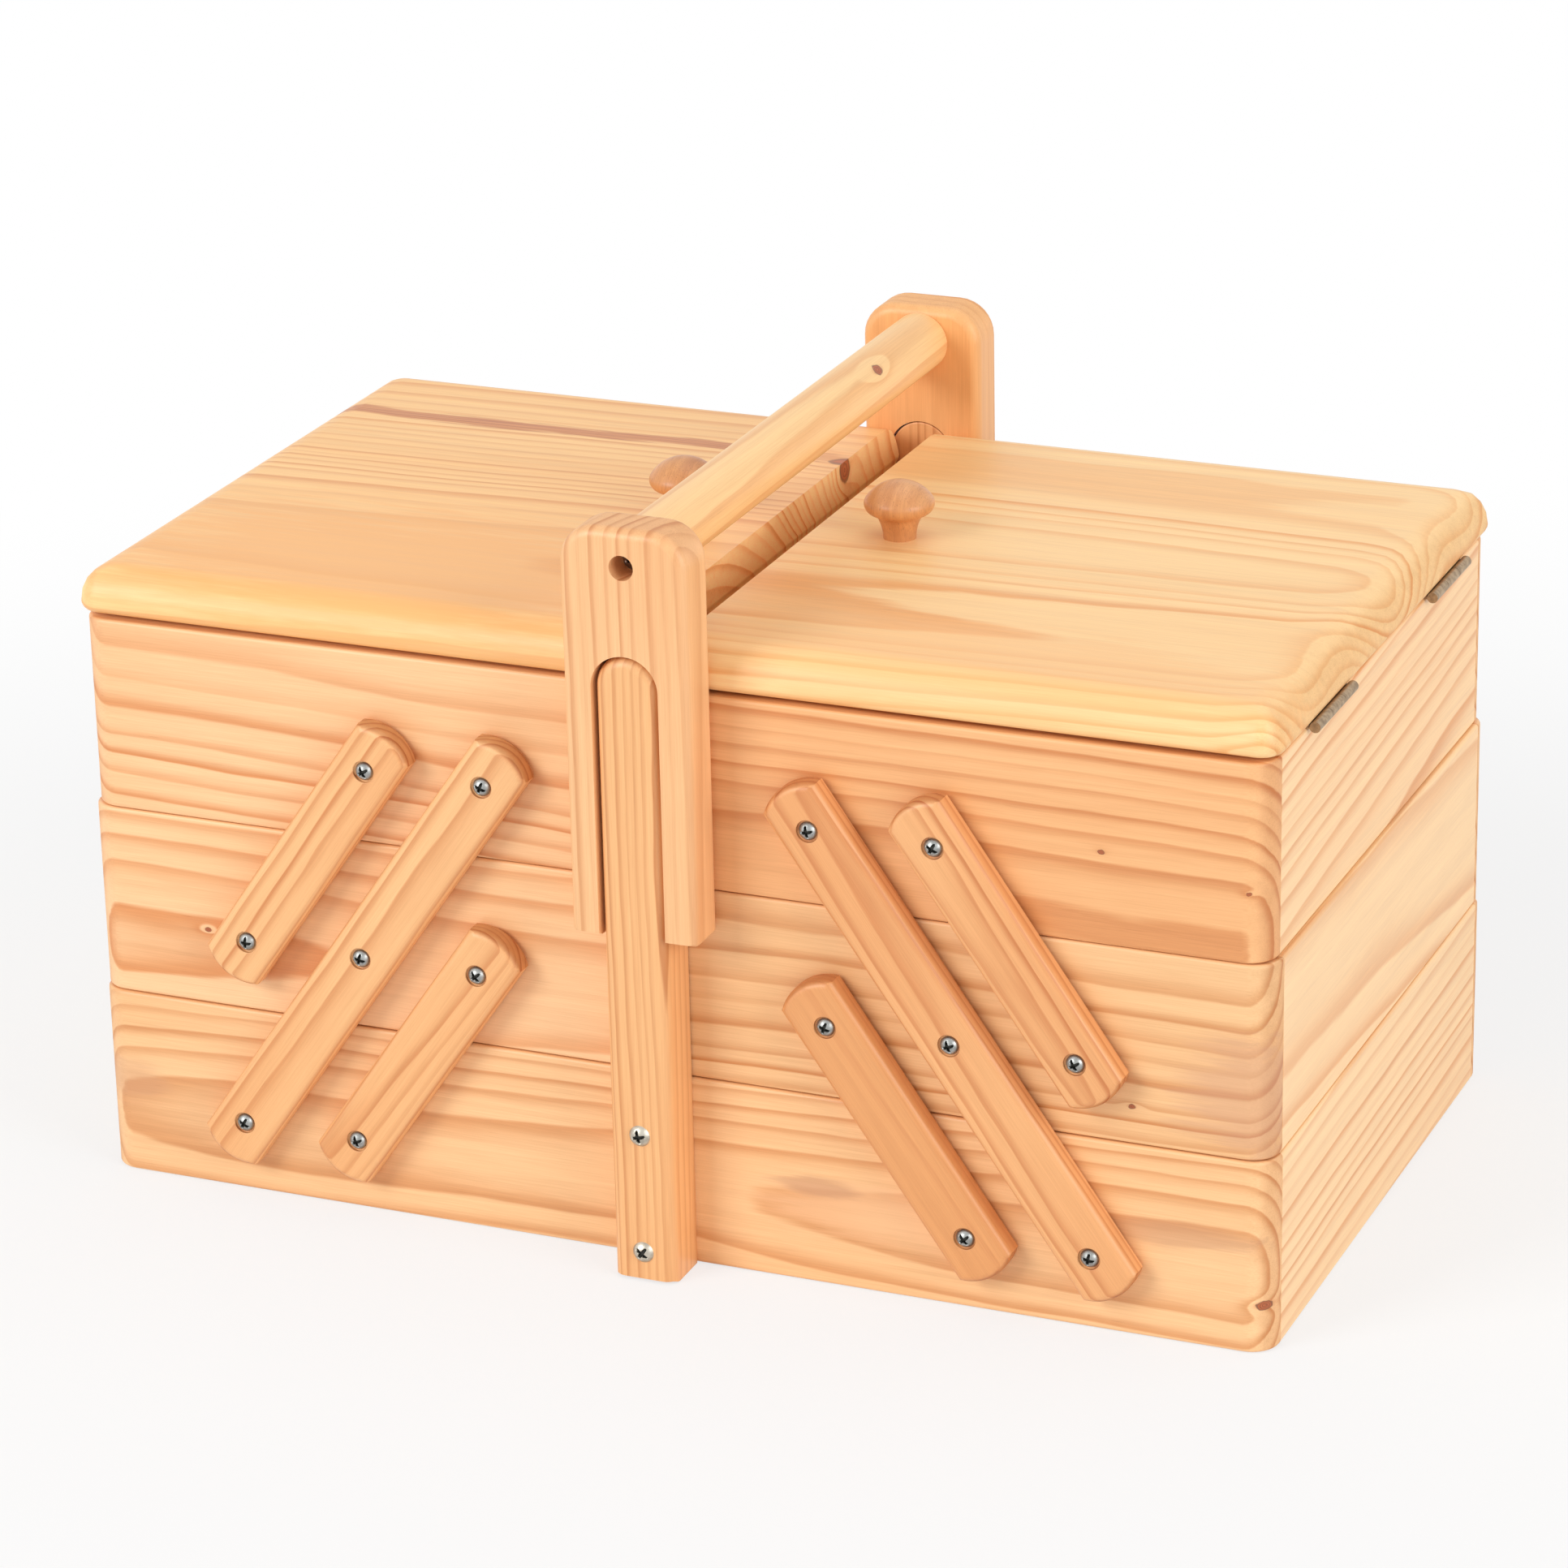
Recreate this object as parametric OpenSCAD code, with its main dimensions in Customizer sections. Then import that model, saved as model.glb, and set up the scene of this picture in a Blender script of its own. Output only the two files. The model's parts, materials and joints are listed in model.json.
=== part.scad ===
// Three-tier wooden sewing carrier: a base box, two middle trays and two top trays on
// swinging links, a hinged lid on each top tray, and a carrying handle over the middle.
// X runs along the box, -Y is the front, Z is up, and the origin is under its middle.

/* [Box] */
// Length of the base box
box_len = 400; // [360:1:460]
// Depth of the base box, front face to back face
box_depth = 228; // [190:1:260]
// Height of the base box
base_h = 63.7; // [50:0.1:80]
// Height of each tray
tray_h = 63.7; // [50:0.1:80]
// Thickness of the front, back and end boards
board_t = 10; // [9:0.5:14]
// Radius of the upright corners of the boxes
corner_r = 9; // [3:0.5:9]
// Thickness of the plywood bottom panels
panel_t = 4; // [3:0.5:5]
// Height of a bottom panel above the lower edge of its boards
panel_up = 3; // [2:0.5:5]
// Depth of the groove that holds a bottom panel
groove_d = 4; // [2:0.5:6]

/* [Tray gaps] */
// Gap between one tier and the next
tier_gap = 0.3; // [0.2:0.05:1]
// Gap between the left and right trays over the middle of the base
centre_gap = 15.5; // [14:0.5:24]
// How far a tray's front stands back from the base's front
tray_inset = 0.5; // [0.3:0.1:1]
// How far a middle tray's outer end stands in from the base's end
middle_end_inset = 0.4; // [0:0.1:2]
// How far a top tray's outer end stands in from the base's end
top_end_inset = 1.8; // [0:0.1:3]

/* [Links] */
// Width of a link
link_w = 21; // [16:0.5:24]
// Thickness of a link
link_t = 8; // [6:0.5:10]
// Length of a link past the centre of its end screw
link_over = 15; // [11:0.5:18]
// Radius of the curved end of a link
link_end_r = 16; // [13:0.5:24]
// Gap between a link and the boards behind it
link_gap = 0.4; // [0.3:0.1:1]
// Sideways lean of a link from the base's screw to the middle tray's screw
link_lean = 45; // [35:1:50]
// Height of the link screws above the lower edge of each tier
pivot_up = 27.5; // [25:0.5:32]
// Distance from the end of the base to the first screw of a long link
link_foot_in = 55.5; // [50:0.5:65]
// Distance between a long link and the short links beside it
link_pair = 40.5; // [36:0.5:44]

/* [Handle] */
// Width of an upright
upright_w = 21; // [18:0.5:24]
// Thickness of an upright and of the bracket on it
upright_t = 18; // [15:0.5:22]
// Radius of the long edges of an upright
upright_edge_r = 4; // [2:0.5:5]
// Gap between the lids and the dowel that is the grip
hand_gap = 18.5; // [16:0.5:40]
// Distance of the uprights' round tops below the dowel's axis
upright_drop = 28.5; // [26:0.5:34]
// Width of a handle bracket
bracket_w = 42; // [38:1:50]
// Length of a handle bracket
bracket_len = 133; // [120:0.5:150]
// Height of a handle bracket above the dowel's axis
bracket_rise = 12; // [11.5:0.5:20]
// Radius of the top corners of a handle bracket
bracket_corner_r = 12; // [5:0.5:14]
// Radius of the outer edges of a handle bracket
bracket_edge_r = 3.5; // [1:0.5:5]
// Gap all round an upright in the slot of its bracket
slot_gap = 0.3; // [0.1:0.05:0.6]
// Diameter of the dowel that is the grip
dowel_d = 20; // [16:0.5:22]
// Diameter of the hole that hides the dowel's screw
plug_hole_d = 8; // [7:0.5:9]
// Depth of the hole that hides the dowel's screw
plug_hole_depth = 10; // [6:0.5:12]

/* [Lids] */
// Thickness of a lid
lid_t = 15; // [11:0.5:16]
// Gap between a lid and its tray, which the hinge leaves fill
lid_gap = 1.3; // [1.1:0.1:2]
// Overhang of a lid past the outer end of its tray
lid_over = 2; // [1:0.5:2]
// Radius of the upper edges of a lid
lid_top_r = 12; // [4:0.5:12]
// Radius of the lower edges of a lid
lid_low_r = 3; // [2:0.5:3]
// Radius of the outer corners of a lid, seen from above
lid_corner_r = 8; // [4:0.5:12]
// Distance of the knob from the inner end of the lid
knob_in = 29.5; // [26:0.5:60]
// Height of a knob
knob_h = 19; // [16:0.5:24]
// Radius of a knob's cap
knob_r = 11.3; // [10:0.1:13]
// Radius of the rounded rim of a knob's cap
knob_rim_r = 3.3; // [2.5:0.1:3.5]
// Height of the widest part of a knob above the lid
knob_rim_z = 11.5; // [10:0.1:12.5]
// Radius of a knob's stem where it meets the lid
knob_foot_r = 5.4; // [4.5:0.1:6.5]
// Radius of a knob's stem under the cap
knob_neck_r = 7.6; // [5:0.1:7.9]

/* [Hinges] */
// Length of a hinge
hinge_len = 38; // [30:1:45]
// Distance of a hinge from the middle of the lid
hinge_y = 61; // [40:1:70]
// Radius of a hinge barrel
barrel_r = 1.75; // [1.5:0.05:1.85]
// Distance of the hinge axis past the outer end of the tray
hinge_out = 2.5; // [2.5:0.1:3]
// Radius of a hinge pin
hinge_pin_r = 0.9; // [0.7:0.05:1]
// Thickness of a hinge leaf
leaf_t = 0.6; // [0.4:0.05:0.65]
// Reach of a hinge leaf inwards from the hinge axis
leaf_w = 11.5; // [10:0.5:12]
// Distance between the two screws of one hinge leaf
leaf_screw_pitch = 24; // [18:1:26]

/* [Screws] */
// Radius of the shank of a link screw
pivot_screw_r = 1.5; // [1.25:0.05:2]
// Radius of the head of a link screw
pivot_head_r = 3; // [2.5:0.1:3.5]
// Height of the head of a link screw
pivot_head_h = 2.2; // [1.6:0.1:2.6]
// Depth of the recess for the head of a link screw
pivot_recess = 1; // [0.6:0.1:1.4]
// Gap round the head of a link screw in its recess
pivot_ring = 0.6; // [0.3:0.1:1]
// Depth of a link screw in the board
pivot_bite = 8; // [6:0.5:8.5]
// Radius of the shank of an upright's screw
upright_screw_r = 1.75; // [1.5:0.05:2.25]
// Radius of the head of an upright's screw
upright_head_r = 3.5; // [3:0.1:4]
// Height of the head of an upright's screw
upright_head_h = 2; // [1.5:0.1:2.6]
// Depth of an upright's screw in the base's board
upright_bite = 8.5; // [6:0.5:8.5]
// Height of the lower screw of an upright
upright_screw_low = 10; // [8:0.5:14]
// Height of the upper screw of an upright
upright_screw_high = 50; // [40:0.5:50]
// Radius of the screw in the end of the dowel
dowel_screw_r = 2; // [1.5:0.1:2.5]
// Depth of the screw in the end of the dowel
dowel_bite = 30; // [20:1:40]
// Radius of a knob's screw
knob_screw_r = 1.75; // [1.5:0.05:2]
// Depth of a knob's screw in the knob
knob_bite = 12; // [8:0.5:13]
// Radius of a hinge leaf's screw
leaf_screw_r = 1; // [0.8:0.05:1.2]
// Depth of a hinge leaf's screw in the wood
leaf_bite = 7; // [5:0.5:7.5]

/* [Clearances] */
// Radial clearance of a link on its screw
pivot_fit = 0.08; // [0.03:0.01:0.1]
// Radial clearance of a screw in the wood that it holds
wood_fit = 0.05; // [0:0.01:0.1]
// Radial clearance of a hinge pin in the lid's knuckle
pin_fit = 0.05; // [0.02:0.01:0.1]
// Gap between hinge knuckles, and between a leaf and the other leaf's barrel
knuckle_gap = 0.2; // [0.1:0.05:0.4]
// Gap under the head of a link screw
head_gap = 0.1; // [0.05:0.05:0.3]

/* [Hidden] */
SIDES = ["left", "right"];
FACES = ["front", "back"];
BOX_BOARDS = ["front", "back", "outer_end", "inner_end", "bottom_panel"];
LINKS = ["long_link", "lower_link", "upper_link"];
$fn = 48;
// Length by which a cutting shape runs past the face that it cuts
cut = 1;

PINE = [0.94, 0.76, 0.54];
PINE_DEEP = [0.90, 0.69, 0.45];
PLYWOOD = [0.90, 0.80, 0.64];
BEECH = [0.84, 0.66, 0.50];
ZINC = [0.78, 0.79, 0.80];
ANTIQUE_BRASS = [0.56, 0.49, 0.38];

// Heights of the tiers
middle_z = base_h + tier_gap;
top_z = middle_z + tray_h + tier_gap;
tray_top_z = top_z + tray_h;
lid_z = tray_top_z + lid_gap;

// Planes and ends, on the right-hand side
half_depth = box_depth / 2;
tray_half_depth = half_depth - tray_inset;
tray_in_x = centre_gap / 2;
middle_out_x = box_len / 2 - middle_end_inset;
top_out_x = box_len / 2 - top_end_inset;
lid_out_x = top_out_x + lid_over;
hinge_x = top_out_x + hinge_out;
hinge_z = tray_top_z + lid_gap / 2;
dowel_z = lid_z + lid_t + hand_gap + dowel_d / 2;
upright_top_z = dowel_z - upright_drop;
bracket_top_z = dowel_z + bracket_rise;
bracket_foot_z = bracket_top_z - bracket_len;

// Link screws, on the right-hand side: the trays stay level because every link has the same lean
top_rise = tray_h + tier_gap;
top_lean = link_lean * top_rise / middle_z;
long_base = [box_len / 2 - link_foot_in, pivot_up];
long_middle = long_base + [-link_lean, middle_z];
long_top = long_middle + [-top_lean, top_rise];
lower_base = long_base - [link_pair, 0];
lower_middle = long_middle - [link_pair, 0];
upper_middle = long_middle + [link_pair, 0];
upper_top = long_top + [link_pair, 0];
base_pivots = [long_base, lower_base];
middle_pivots = [long_middle, lower_middle, upper_middle];
top_pivots = [long_top, upper_top];
link_face = half_depth + link_gap + link_t;
pivot_head_seat = link_face - pivot_recess + head_gap;

// A knob's cap is a shallow dome that runs smoothly into its rounded rim
knob_rim_x = knob_r - knob_rim_r;
knob_dome_drop = knob_h - knob_rim_z;
knob_dome_r = (pow(knob_rim_x, 2) + pow(knob_dome_drop, 2) - pow(knob_rim_r, 2))
    / (2 * (knob_dome_drop - knob_rim_r));
knob_x = tray_in_x + knob_in;

// Copies of a right-hand, front shape on the other side or face
module on_side(s) {
    mirror([s == "left" ? 1 : 0, 0, 0]) children();
}
module on_face(f) {
    mirror([0, f == "back" ? 1 : 0, 0]) children();
}

// A cylinder that runs towards the back from the plane y
module bore_y(x, z, y, r, length) {
    translate([x, y, z]) rotate([-90, 0, 0]) cylinder(r = r, h = length);
}

// Square with its chosen corners rounded to r: [left front, right front, left back, right back]
module rounded_rect(x0, y0, x1, y1, r, corners) {
    difference() {
        translate([x0, y0]) square([x1 - x0, y1 - y0]);
        if (corners[0]) corner_cut(x0, y0, 1, 1, r);
        if (corners[1]) corner_cut(x1, y0, -1, 1, r);
        if (corners[2]) corner_cut(x0, y1, 1, -1, r);
        if (corners[3]) corner_cut(x1, y1, -1, -1, r);
    }
}
module corner_cut(x, y, sx, sy, r) {
    translate([x, y]) scale_sign(sx, sy) difference() {
        translate([-cut, -cut]) square(r + cut);
        translate([r, r]) circle(r);
    }
}
module scale_sign(sx, sy) {
    mirror([sx < 0 ? 1 : 0, 0, 0]) mirror([0, sy < 0 ? 1 : 0, 0]) children();
}

// Space that a bottom panel fills, between outer ends x0 and x1 of a box
module panel_space(x0, x1, z, half_d) {
    inner = board_t - groove_d;
    translate([x0 + inner, -half_d + inner, z + panel_up])
        cube([x1 - x0 - 2 * inner, 2 * (half_d - inner), panel_t]);
}

// Front board of a box from x0 to x1; its outer upright corners are rounded
module front_board(x0, x1, z, h, half_d, round_left, pivots, screw_xs) {
    difference() {
        translate([0, 0, z]) linear_extrude(h)
            rounded_rect(x0, -half_d, x1, board_t - half_d, corner_r, [round_left, true, false, false]);
        panel_space(x0, x1, z, half_d);
        for (p = pivots)
            for (sx = screw_xs)
                bore_y(sx * p[0], p[1], -half_d - cut, pivot_screw_r + wood_fit,
                    cut + pivot_bite + tray_inset);
    }
}

// End board of a box, between its front and back boards
module end_board(x0, x1, box_x0, box_x1, z, h, half_d) {
    difference() {
        translate([x0, board_t - half_d, z]) cube([x1 - x0, 2 * (half_d - board_t), h]);
        panel_space(box_x0, box_x1, z, half_d);
    }
}

// Base box
module base_board(f) {
    color(PINE) on_face(f) difference() {
        front_board(-box_len / 2, box_len / 2, 0, base_h, half_depth, true, base_pivots, [-1, 1]);
        for (z = [upright_screw_low, upright_screw_high])
            bore_y(0, z, -half_depth - cut, upright_screw_r + wood_fit, cut + upright_bite);
    }
}
module base_end(s) {
    color(PINE) on_side(s)
        end_board(box_len / 2 - board_t, box_len / 2, -box_len / 2, box_len / 2, 0, base_h, half_depth);
}
module base_bottom_panel() {
    color(PLYWOOD) panel_space(-box_len / 2, box_len / 2, 0, half_depth);
}

// Trays
module tray_board(s, board, out_x, z, pivots) {
    on_side(s) {
        if (board == "front" || board == "back")
            color(PINE) on_face(board)
                front_board(tray_in_x, out_x, z, tray_h, tray_half_depth, false, pivots, [1]);
        if (board == "outer_end")
            color(PINE)
                end_board(out_x - board_t, out_x, tray_in_x, out_x, z, tray_h, tray_half_depth);
        if (board == "inner_end")
            color(PINE)
                end_board(tray_in_x, tray_in_x + board_t, tray_in_x, out_x, z, tray_h, tray_half_depth);
        if (board == "bottom_panel")
            color(PLYWOOD) panel_space(tray_in_x, out_x, z, tray_half_depth);
    }
}
module middle_tray_board(s, board) {
    tray_board(s, board, middle_out_x, middle_z, middle_pivots);
}
module top_tray_board(s, board) {
    difference() {
        tray_board(s, board, top_out_x, top_z, top_pivots);
        if (board == "outer_end")
            on_side(s) leaf_screw_bores(tray_top_z - leaf_bite);
    }
}

// Round-headed screw that points to the back: its head's seat is at y, its tip at y + length
module round_screw(x, z, y, shank_r, head_r, head_h, length) {
    dome_r = (head_r * head_r + head_h * head_h) / (2 * head_h);
    cross_w = head_r / 4;
    cross_l = head_r * 1.1;
    translate([x, y, z]) rotate([90, 0, 0]) difference() {
        union() {
            intersection() {
                translate([0, 0, head_h - dome_r]) sphere(dome_r);
                cylinder(r = head_r + cut, h = head_h + cut);
            }
            translate([0, 0, -length]) cylinder(r = shank_r, h = length + head_h / 4);
        }
        for (turn = [0, 90])
            rotate([0, 0, turn]) translate([-cross_l / 2, -cross_w / 2, head_h / 2])
                cube([cross_l, cross_w, head_h]);
    }
}
module link_screws(s, pivots) {
    on_side(s)
        for (f = FACES)
            for (p = pivots)
                on_face(f)
                    round_screw(p[0], p[1], -pivot_head_seat, pivot_screw_r, pivot_head_r, pivot_head_h,
                        pivot_head_seat - half_depth + pivot_bite);
}
module base_pivot_screws() {
    color(ZINC) for (s = SIDES) link_screws(s, base_pivots);
}
module middle_tray_screws(s) {
    color(ZINC) link_screws(s, middle_pivots);
}
module top_tray_screws(s) {
    color(ZINC) link_screws(s, top_pivots);
    color(ANTIQUE_BRASS) on_side(s) for (y = leaf_screw_ys()) leaf_screw(y, tray_top_z, 1);
}

// Link between two screws, lower and upper; middle is a third screw between them, or undef
module link_plate(lower, upper, middle) {
    along = upper - lower;
    span = norm(along);
    lean = atan2(along[1], along[0]);
    half = span / 2 + link_over;
    end_r = max(link_end_r, link_w / 2);
    screws = middle == undef ? [0, span] : [0, norm(middle - lower), span];
    translate([lower[0], -half_depth - link_gap, lower[1]])
        rotate([90, -lean, 0])
            difference() {
                linear_extrude(link_t) translate([span / 2, 0]) difference() {
                    square([2 * (half + cut), link_w], center = true);
                    for (turn = [0, 180]) rotate(turn) translate([half - end_r, 0]) difference() {
                        translate([0, -link_w / 2 - cut]) square([end_r + 2 * cut, link_w + 2 * cut]);
                        circle(end_r, $fn = 96);
                    }
                }
                for (x = screws) {
                    translate([x, 0, -cut]) cylinder(r = pivot_screw_r + pivot_fit, h = link_t + 2 * cut);
                    translate([x, 0, link_t - pivot_recess])
                        cylinder(r = pivot_head_r + pivot_ring, h = pivot_recess + cut);
                }
            }
}
module link(s, f, kind) {
    color(PINE_DEEP) on_side(s) on_face(f) {
        if (kind == "long_link") link_plate(long_base, long_top, long_middle);
        if (kind == "lower_link") link_plate(lower_base, lower_middle, undef);
        if (kind == "upper_link") link_plate(upper_middle, upper_top, undef);
    }
}

// Upright: a bar with rounded long edges and a round top
module upright(f) {
    color(PINE) on_face(f) difference() {
        intersection() {
            linear_extrude(upright_top_z)
                rounded_rect(-upright_w / 2, -half_depth - upright_t, upright_w / 2, -half_depth,
                    upright_edge_r, [true, true, false, false]);
            translate([0, -half_depth + cut, 0]) rotate([90, 0, 0]) linear_extrude(upright_t + 2 * cut)
                round_top_outline(upright_w / 2, upright_top_z);
        }
        for (z = [upright_screw_low, upright_screw_high])
            bore_y(0, z, -half_depth - upright_t - cut, upright_screw_r + wood_fit, upright_t + 2 * cut);
    }
}
module round_top_outline(r, top) {
    translate([-r, 0]) square([2 * r, top - r]);
    translate([0, top - r]) circle(r);
}
module upright_screws() {
    color(ZINC) for (f = FACES) for (z = [upright_screw_low, upright_screw_high])
        on_face(f) round_screw(0, z, -half_depth - upright_t, upright_screw_r, upright_head_r,
            upright_head_h, upright_t + upright_bite);
}

// Bracket of the handle: a board with a slot for the upright's round top
module handle_bracket(f) {
    w = bracket_w / 2;
    front = -half_depth - upright_t;
    color(PINE) on_face(f) difference() {
        intersection() {
            translate([0, -half_depth + cut, 0]) rotate([90, 0, 0]) linear_extrude(upright_t + 2 * cut)
                rounded_rect(-w, bracket_foot_z, w, bracket_top_z, bracket_corner_r,
                    [false, false, true, true]);
            translate([0, 0, bracket_foot_z]) linear_extrude(bracket_top_z - bracket_foot_z)
                rounded_rect(-w, front, w, -half_depth, bracket_edge_r, [true, true, true, true]);
            translate([-w, 0, 0]) rotate([90, 0, 90]) linear_extrude(bracket_w)
                rounded_rect(front, bracket_foot_z, -half_depth, bracket_top_z, bracket_edge_r,
                    [true, false, true, true]);
        }
        translate([0, -half_depth + cut, 0]) rotate([90, 0, 0]) linear_extrude(upright_t + 2 * cut)
            round_top_outline(upright_w / 2 + slot_gap, upright_top_z + slot_gap);
        bore_y(0, dowel_z, front - cut, plug_hole_d / 2, plug_hole_depth + cut);
        bore_y(0, dowel_z, front, dowel_screw_r + wood_fit, upright_t + cut);
    }
}
module handle_dowel() {
    color(PINE) difference() {
        bore_y(0, dowel_z, -half_depth, dowel_d / 2, box_depth);
        for (f = FACES)
            on_face(f) bore_y(0, dowel_z, -half_depth - cut, dowel_screw_r + wood_fit, dowel_bite + cut);
    }
}
module handle_screws() {
    color(ZINC) for (f = FACES)
        on_face(f) round_screw(0, dowel_z, plug_hole_depth - half_depth - upright_t, dowel_screw_r,
            plug_hole_d / 2 - head_gap, pivot_head_h, upright_t - plug_hole_depth + dowel_bite);
}

// Lid: a board whose outer, front and back edges are rounded over
module lid_board(s) {
    color(PINE) on_side(s) difference() {
        intersection() {
            translate([0, 0, lid_z]) linear_extrude(lid_t)
                rounded_rect(tray_in_x, -tray_half_depth, lid_out_x, tray_half_depth, lid_corner_r,
                    [false, true, false, true]);
            translate([tray_in_x, 0, lid_z]) rotate([90, 0, 90]) linear_extrude(lid_out_x - tray_in_x)
                lid_edge(-tray_half_depth, tray_half_depth, true);
            translate([0, tray_half_depth, lid_z]) rotate([90, 0, 0]) linear_extrude(2 * tray_half_depth)
                lid_edge(tray_in_x, lid_out_x, false);
        }
        translate([knob_x, 0, lid_z - cut]) cylinder(r = knob_screw_r + wood_fit, h = lid_t + 2 * cut);
        translate([knob_x, 0, lid_z]) screw_sink(knob_screw_r, wood_fit);
        leaf_screw_bores(lid_z);
    }
}
module lid_edge(a, b, both) {
    top_r = min(lid_top_r, lid_t - lid_low_r);
    intersection() {
        rounded_rect(a, 0, b, lid_t, top_r, [false, false, both, true]);
        rounded_rect(a, 0, b, lid_t, lid_low_r, [both, true, false, false]);
    }
}

// Countersunk head, with its flat face down at z = 0
module screw_sink(r, fit) {
    cylinder(r1 = 2 * r + fit, r2 = r + fit, h = r);
}

// Knob: a mushroom turned from one piece
module lid_knob(s) {
    color(BEECH) on_side(s) translate([knob_x, 0, lid_z + lid_t]) difference() {
        rotate_extrude($fn = 96) knob_profile();
        translate([0, 0, -cut]) cylinder(r = knob_screw_r + wood_fit, h = knob_bite + cut);
    }
}
module knob_profile() {
    under = knob_rim_z - knob_rim_r;
    dome_z = knob_h - knob_dome_r;
    far = 2 * knob_dome_r;
    aim = [knob_rim_x, knob_rim_z - dome_z] / norm([knob_rim_x, knob_rim_z - dome_z]);
    polygon([[0, 0], [knob_foot_r, 0], [knob_neck_r, under + knob_rim_r / 2], [0, under + knob_rim_r / 2]]);
    polygon([[0, under], [knob_rim_x, under], [knob_rim_x, knob_rim_z], [0, knob_rim_z]]);
    translate([knob_rim_x, knob_rim_z]) circle(knob_rim_r);
    intersection() {
        translate([0, dome_z]) circle(knob_dome_r, $fn = 96);
        polygon([[0, under], [0, dome_z + far], [aim[0] * far, dome_z + far],
            [aim[0] * far, dome_z + aim[1] * far], [knob_rim_x, knob_rim_z], [knob_rim_x, under]]);
    }
}

// Hinges: two on each lid, each with two leaves, three knuckles and a pin
function leaf_screw_ys() = [for (h = [-1, 1]) for (e = [-1, 1]) h * hinge_y + e * leaf_screw_pitch / 2];
leaf_screw_x = hinge_x - (leaf_w + barrel_r) / 2 - leaf_screw_r / 2;
knuckle_len = (hinge_len - 2 * knuckle_gap) / 3;

module leaf_screw_bores(z) {
    for (y = leaf_screw_ys())
        translate([leaf_screw_x, y, z]) cylinder(r = leaf_screw_r + wood_fit, h = leaf_bite);
}
// Countersunk leaf screw whose tip points down from z for way = 1, and up for way = -1
module leaf_screw(y, z, way) {
    translate([leaf_screw_x, y, z]) mirror([0, 0, way > 0 ? 0 : 1]) {
        translate([0, 0, -leaf_bite]) cylinder(r = leaf_screw_r, h = leaf_bite);
        cylinder(r1 = leaf_screw_r, r2 = leaf_screw_r + leaf_t, h = leaf_t);
    }
}
// Flat leaf of one hinge, with the straps that reach the barrel over the knuckles in ys
module leaf(z, ys) {
    edge = hinge_x - barrel_r - knuckle_gap;
    difference() {
        union() {
            translate([hinge_x - leaf_w, hinge_y - hinge_len / 2, z])
                cube([edge - hinge_x + leaf_w, hinge_len, leaf_t]);
            for (y = ys)
                translate([edge - knuckle_gap, y, z])
                    cube([hinge_x - edge + knuckle_gap, knuckle_len, leaf_t]);
        }
        for (e = [-1, 1])
            translate([leaf_screw_x, hinge_y + e * leaf_screw_pitch / 2, z - cut])
                cylinder(r = leaf_screw_r + wood_fit, h = leaf_t + 2 * cut);
    }
}
module leaf_sinks(z, way) {
    for (e = [-1, 1])
        translate([leaf_screw_x, hinge_y + e * leaf_screw_pitch / 2, z]) mirror([0, 0, way > 0 ? 0 : 1])
            cylinder(r1 = leaf_screw_r + wood_fit, r2 = leaf_screw_r + leaf_t + wood_fit, h = leaf_t);
}
module knuckle(y, r) {
    bore_y(hinge_x, hinge_z, y, r, knuckle_len);
}
module top_tray_hinge_leaves(s) {
    start = hinge_y - hinge_len / 2;
    outer = [start, start + hinge_len - knuckle_len];
    color(ANTIQUE_BRASS) on_side(s) for (f = FACES) on_face(f) {
        difference() {
            leaf(tray_top_z, outer);
            leaf_sinks(tray_top_z, 1);
        }
        for (y = outer) knuckle(y, barrel_r);
        bore_y(hinge_x, hinge_z, start, hinge_pin_r, hinge_len);
    }
}
module lid_hinge_leaves(s) {
    middle = hinge_y - knuckle_len / 2;
    color(ANTIQUE_BRASS) on_side(s) for (f = FACES) on_face(f) difference() {
        union() {
            leaf(lid_z - leaf_t, [middle]);
            knuckle(middle, barrel_r);
        }
        leaf_sinks(lid_z, -1);
        bore_y(hinge_x, hinge_z, middle - cut, hinge_pin_r + pin_fit, knuckle_len + 2 * cut);
    }
}
module lid_screws(s) {
    color(ANTIQUE_BRASS) on_side(s) for (y = leaf_screw_ys()) leaf_screw(y, lid_z, -1);
    color(ZINC) on_side(s) translate([knob_x, 0, lid_z]) {
        screw_sink(knob_screw_r, 0);
        cylinder(r = knob_screw_r, h = lid_t + knob_bite);
    }
}

for (f = FACES) {
    base_board(f);
    upright(f);
    handle_bracket(f);
}
base_bottom_panel();
base_pivot_screws();
upright_screws();
handle_dowel();
handle_screws();
for (s = SIDES) {
    base_end(s);
    for (b = BOX_BOARDS) {
        middle_tray_board(s, b);
        top_tray_board(s, b);
    }
    for (f = FACES) for (k = LINKS) {
        link(s, f, k);
    }
    middle_tray_screws(s);
    top_tray_screws(s);
    top_tray_hinge_leaves(s);
    lid_board(s);
    lid_knob(s);
    lid_hinge_leaves(s);
    lid_screws(s);
}
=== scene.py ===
import json
import math

import bmesh
import bpy
from mathutils import Matrix, Vector

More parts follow.
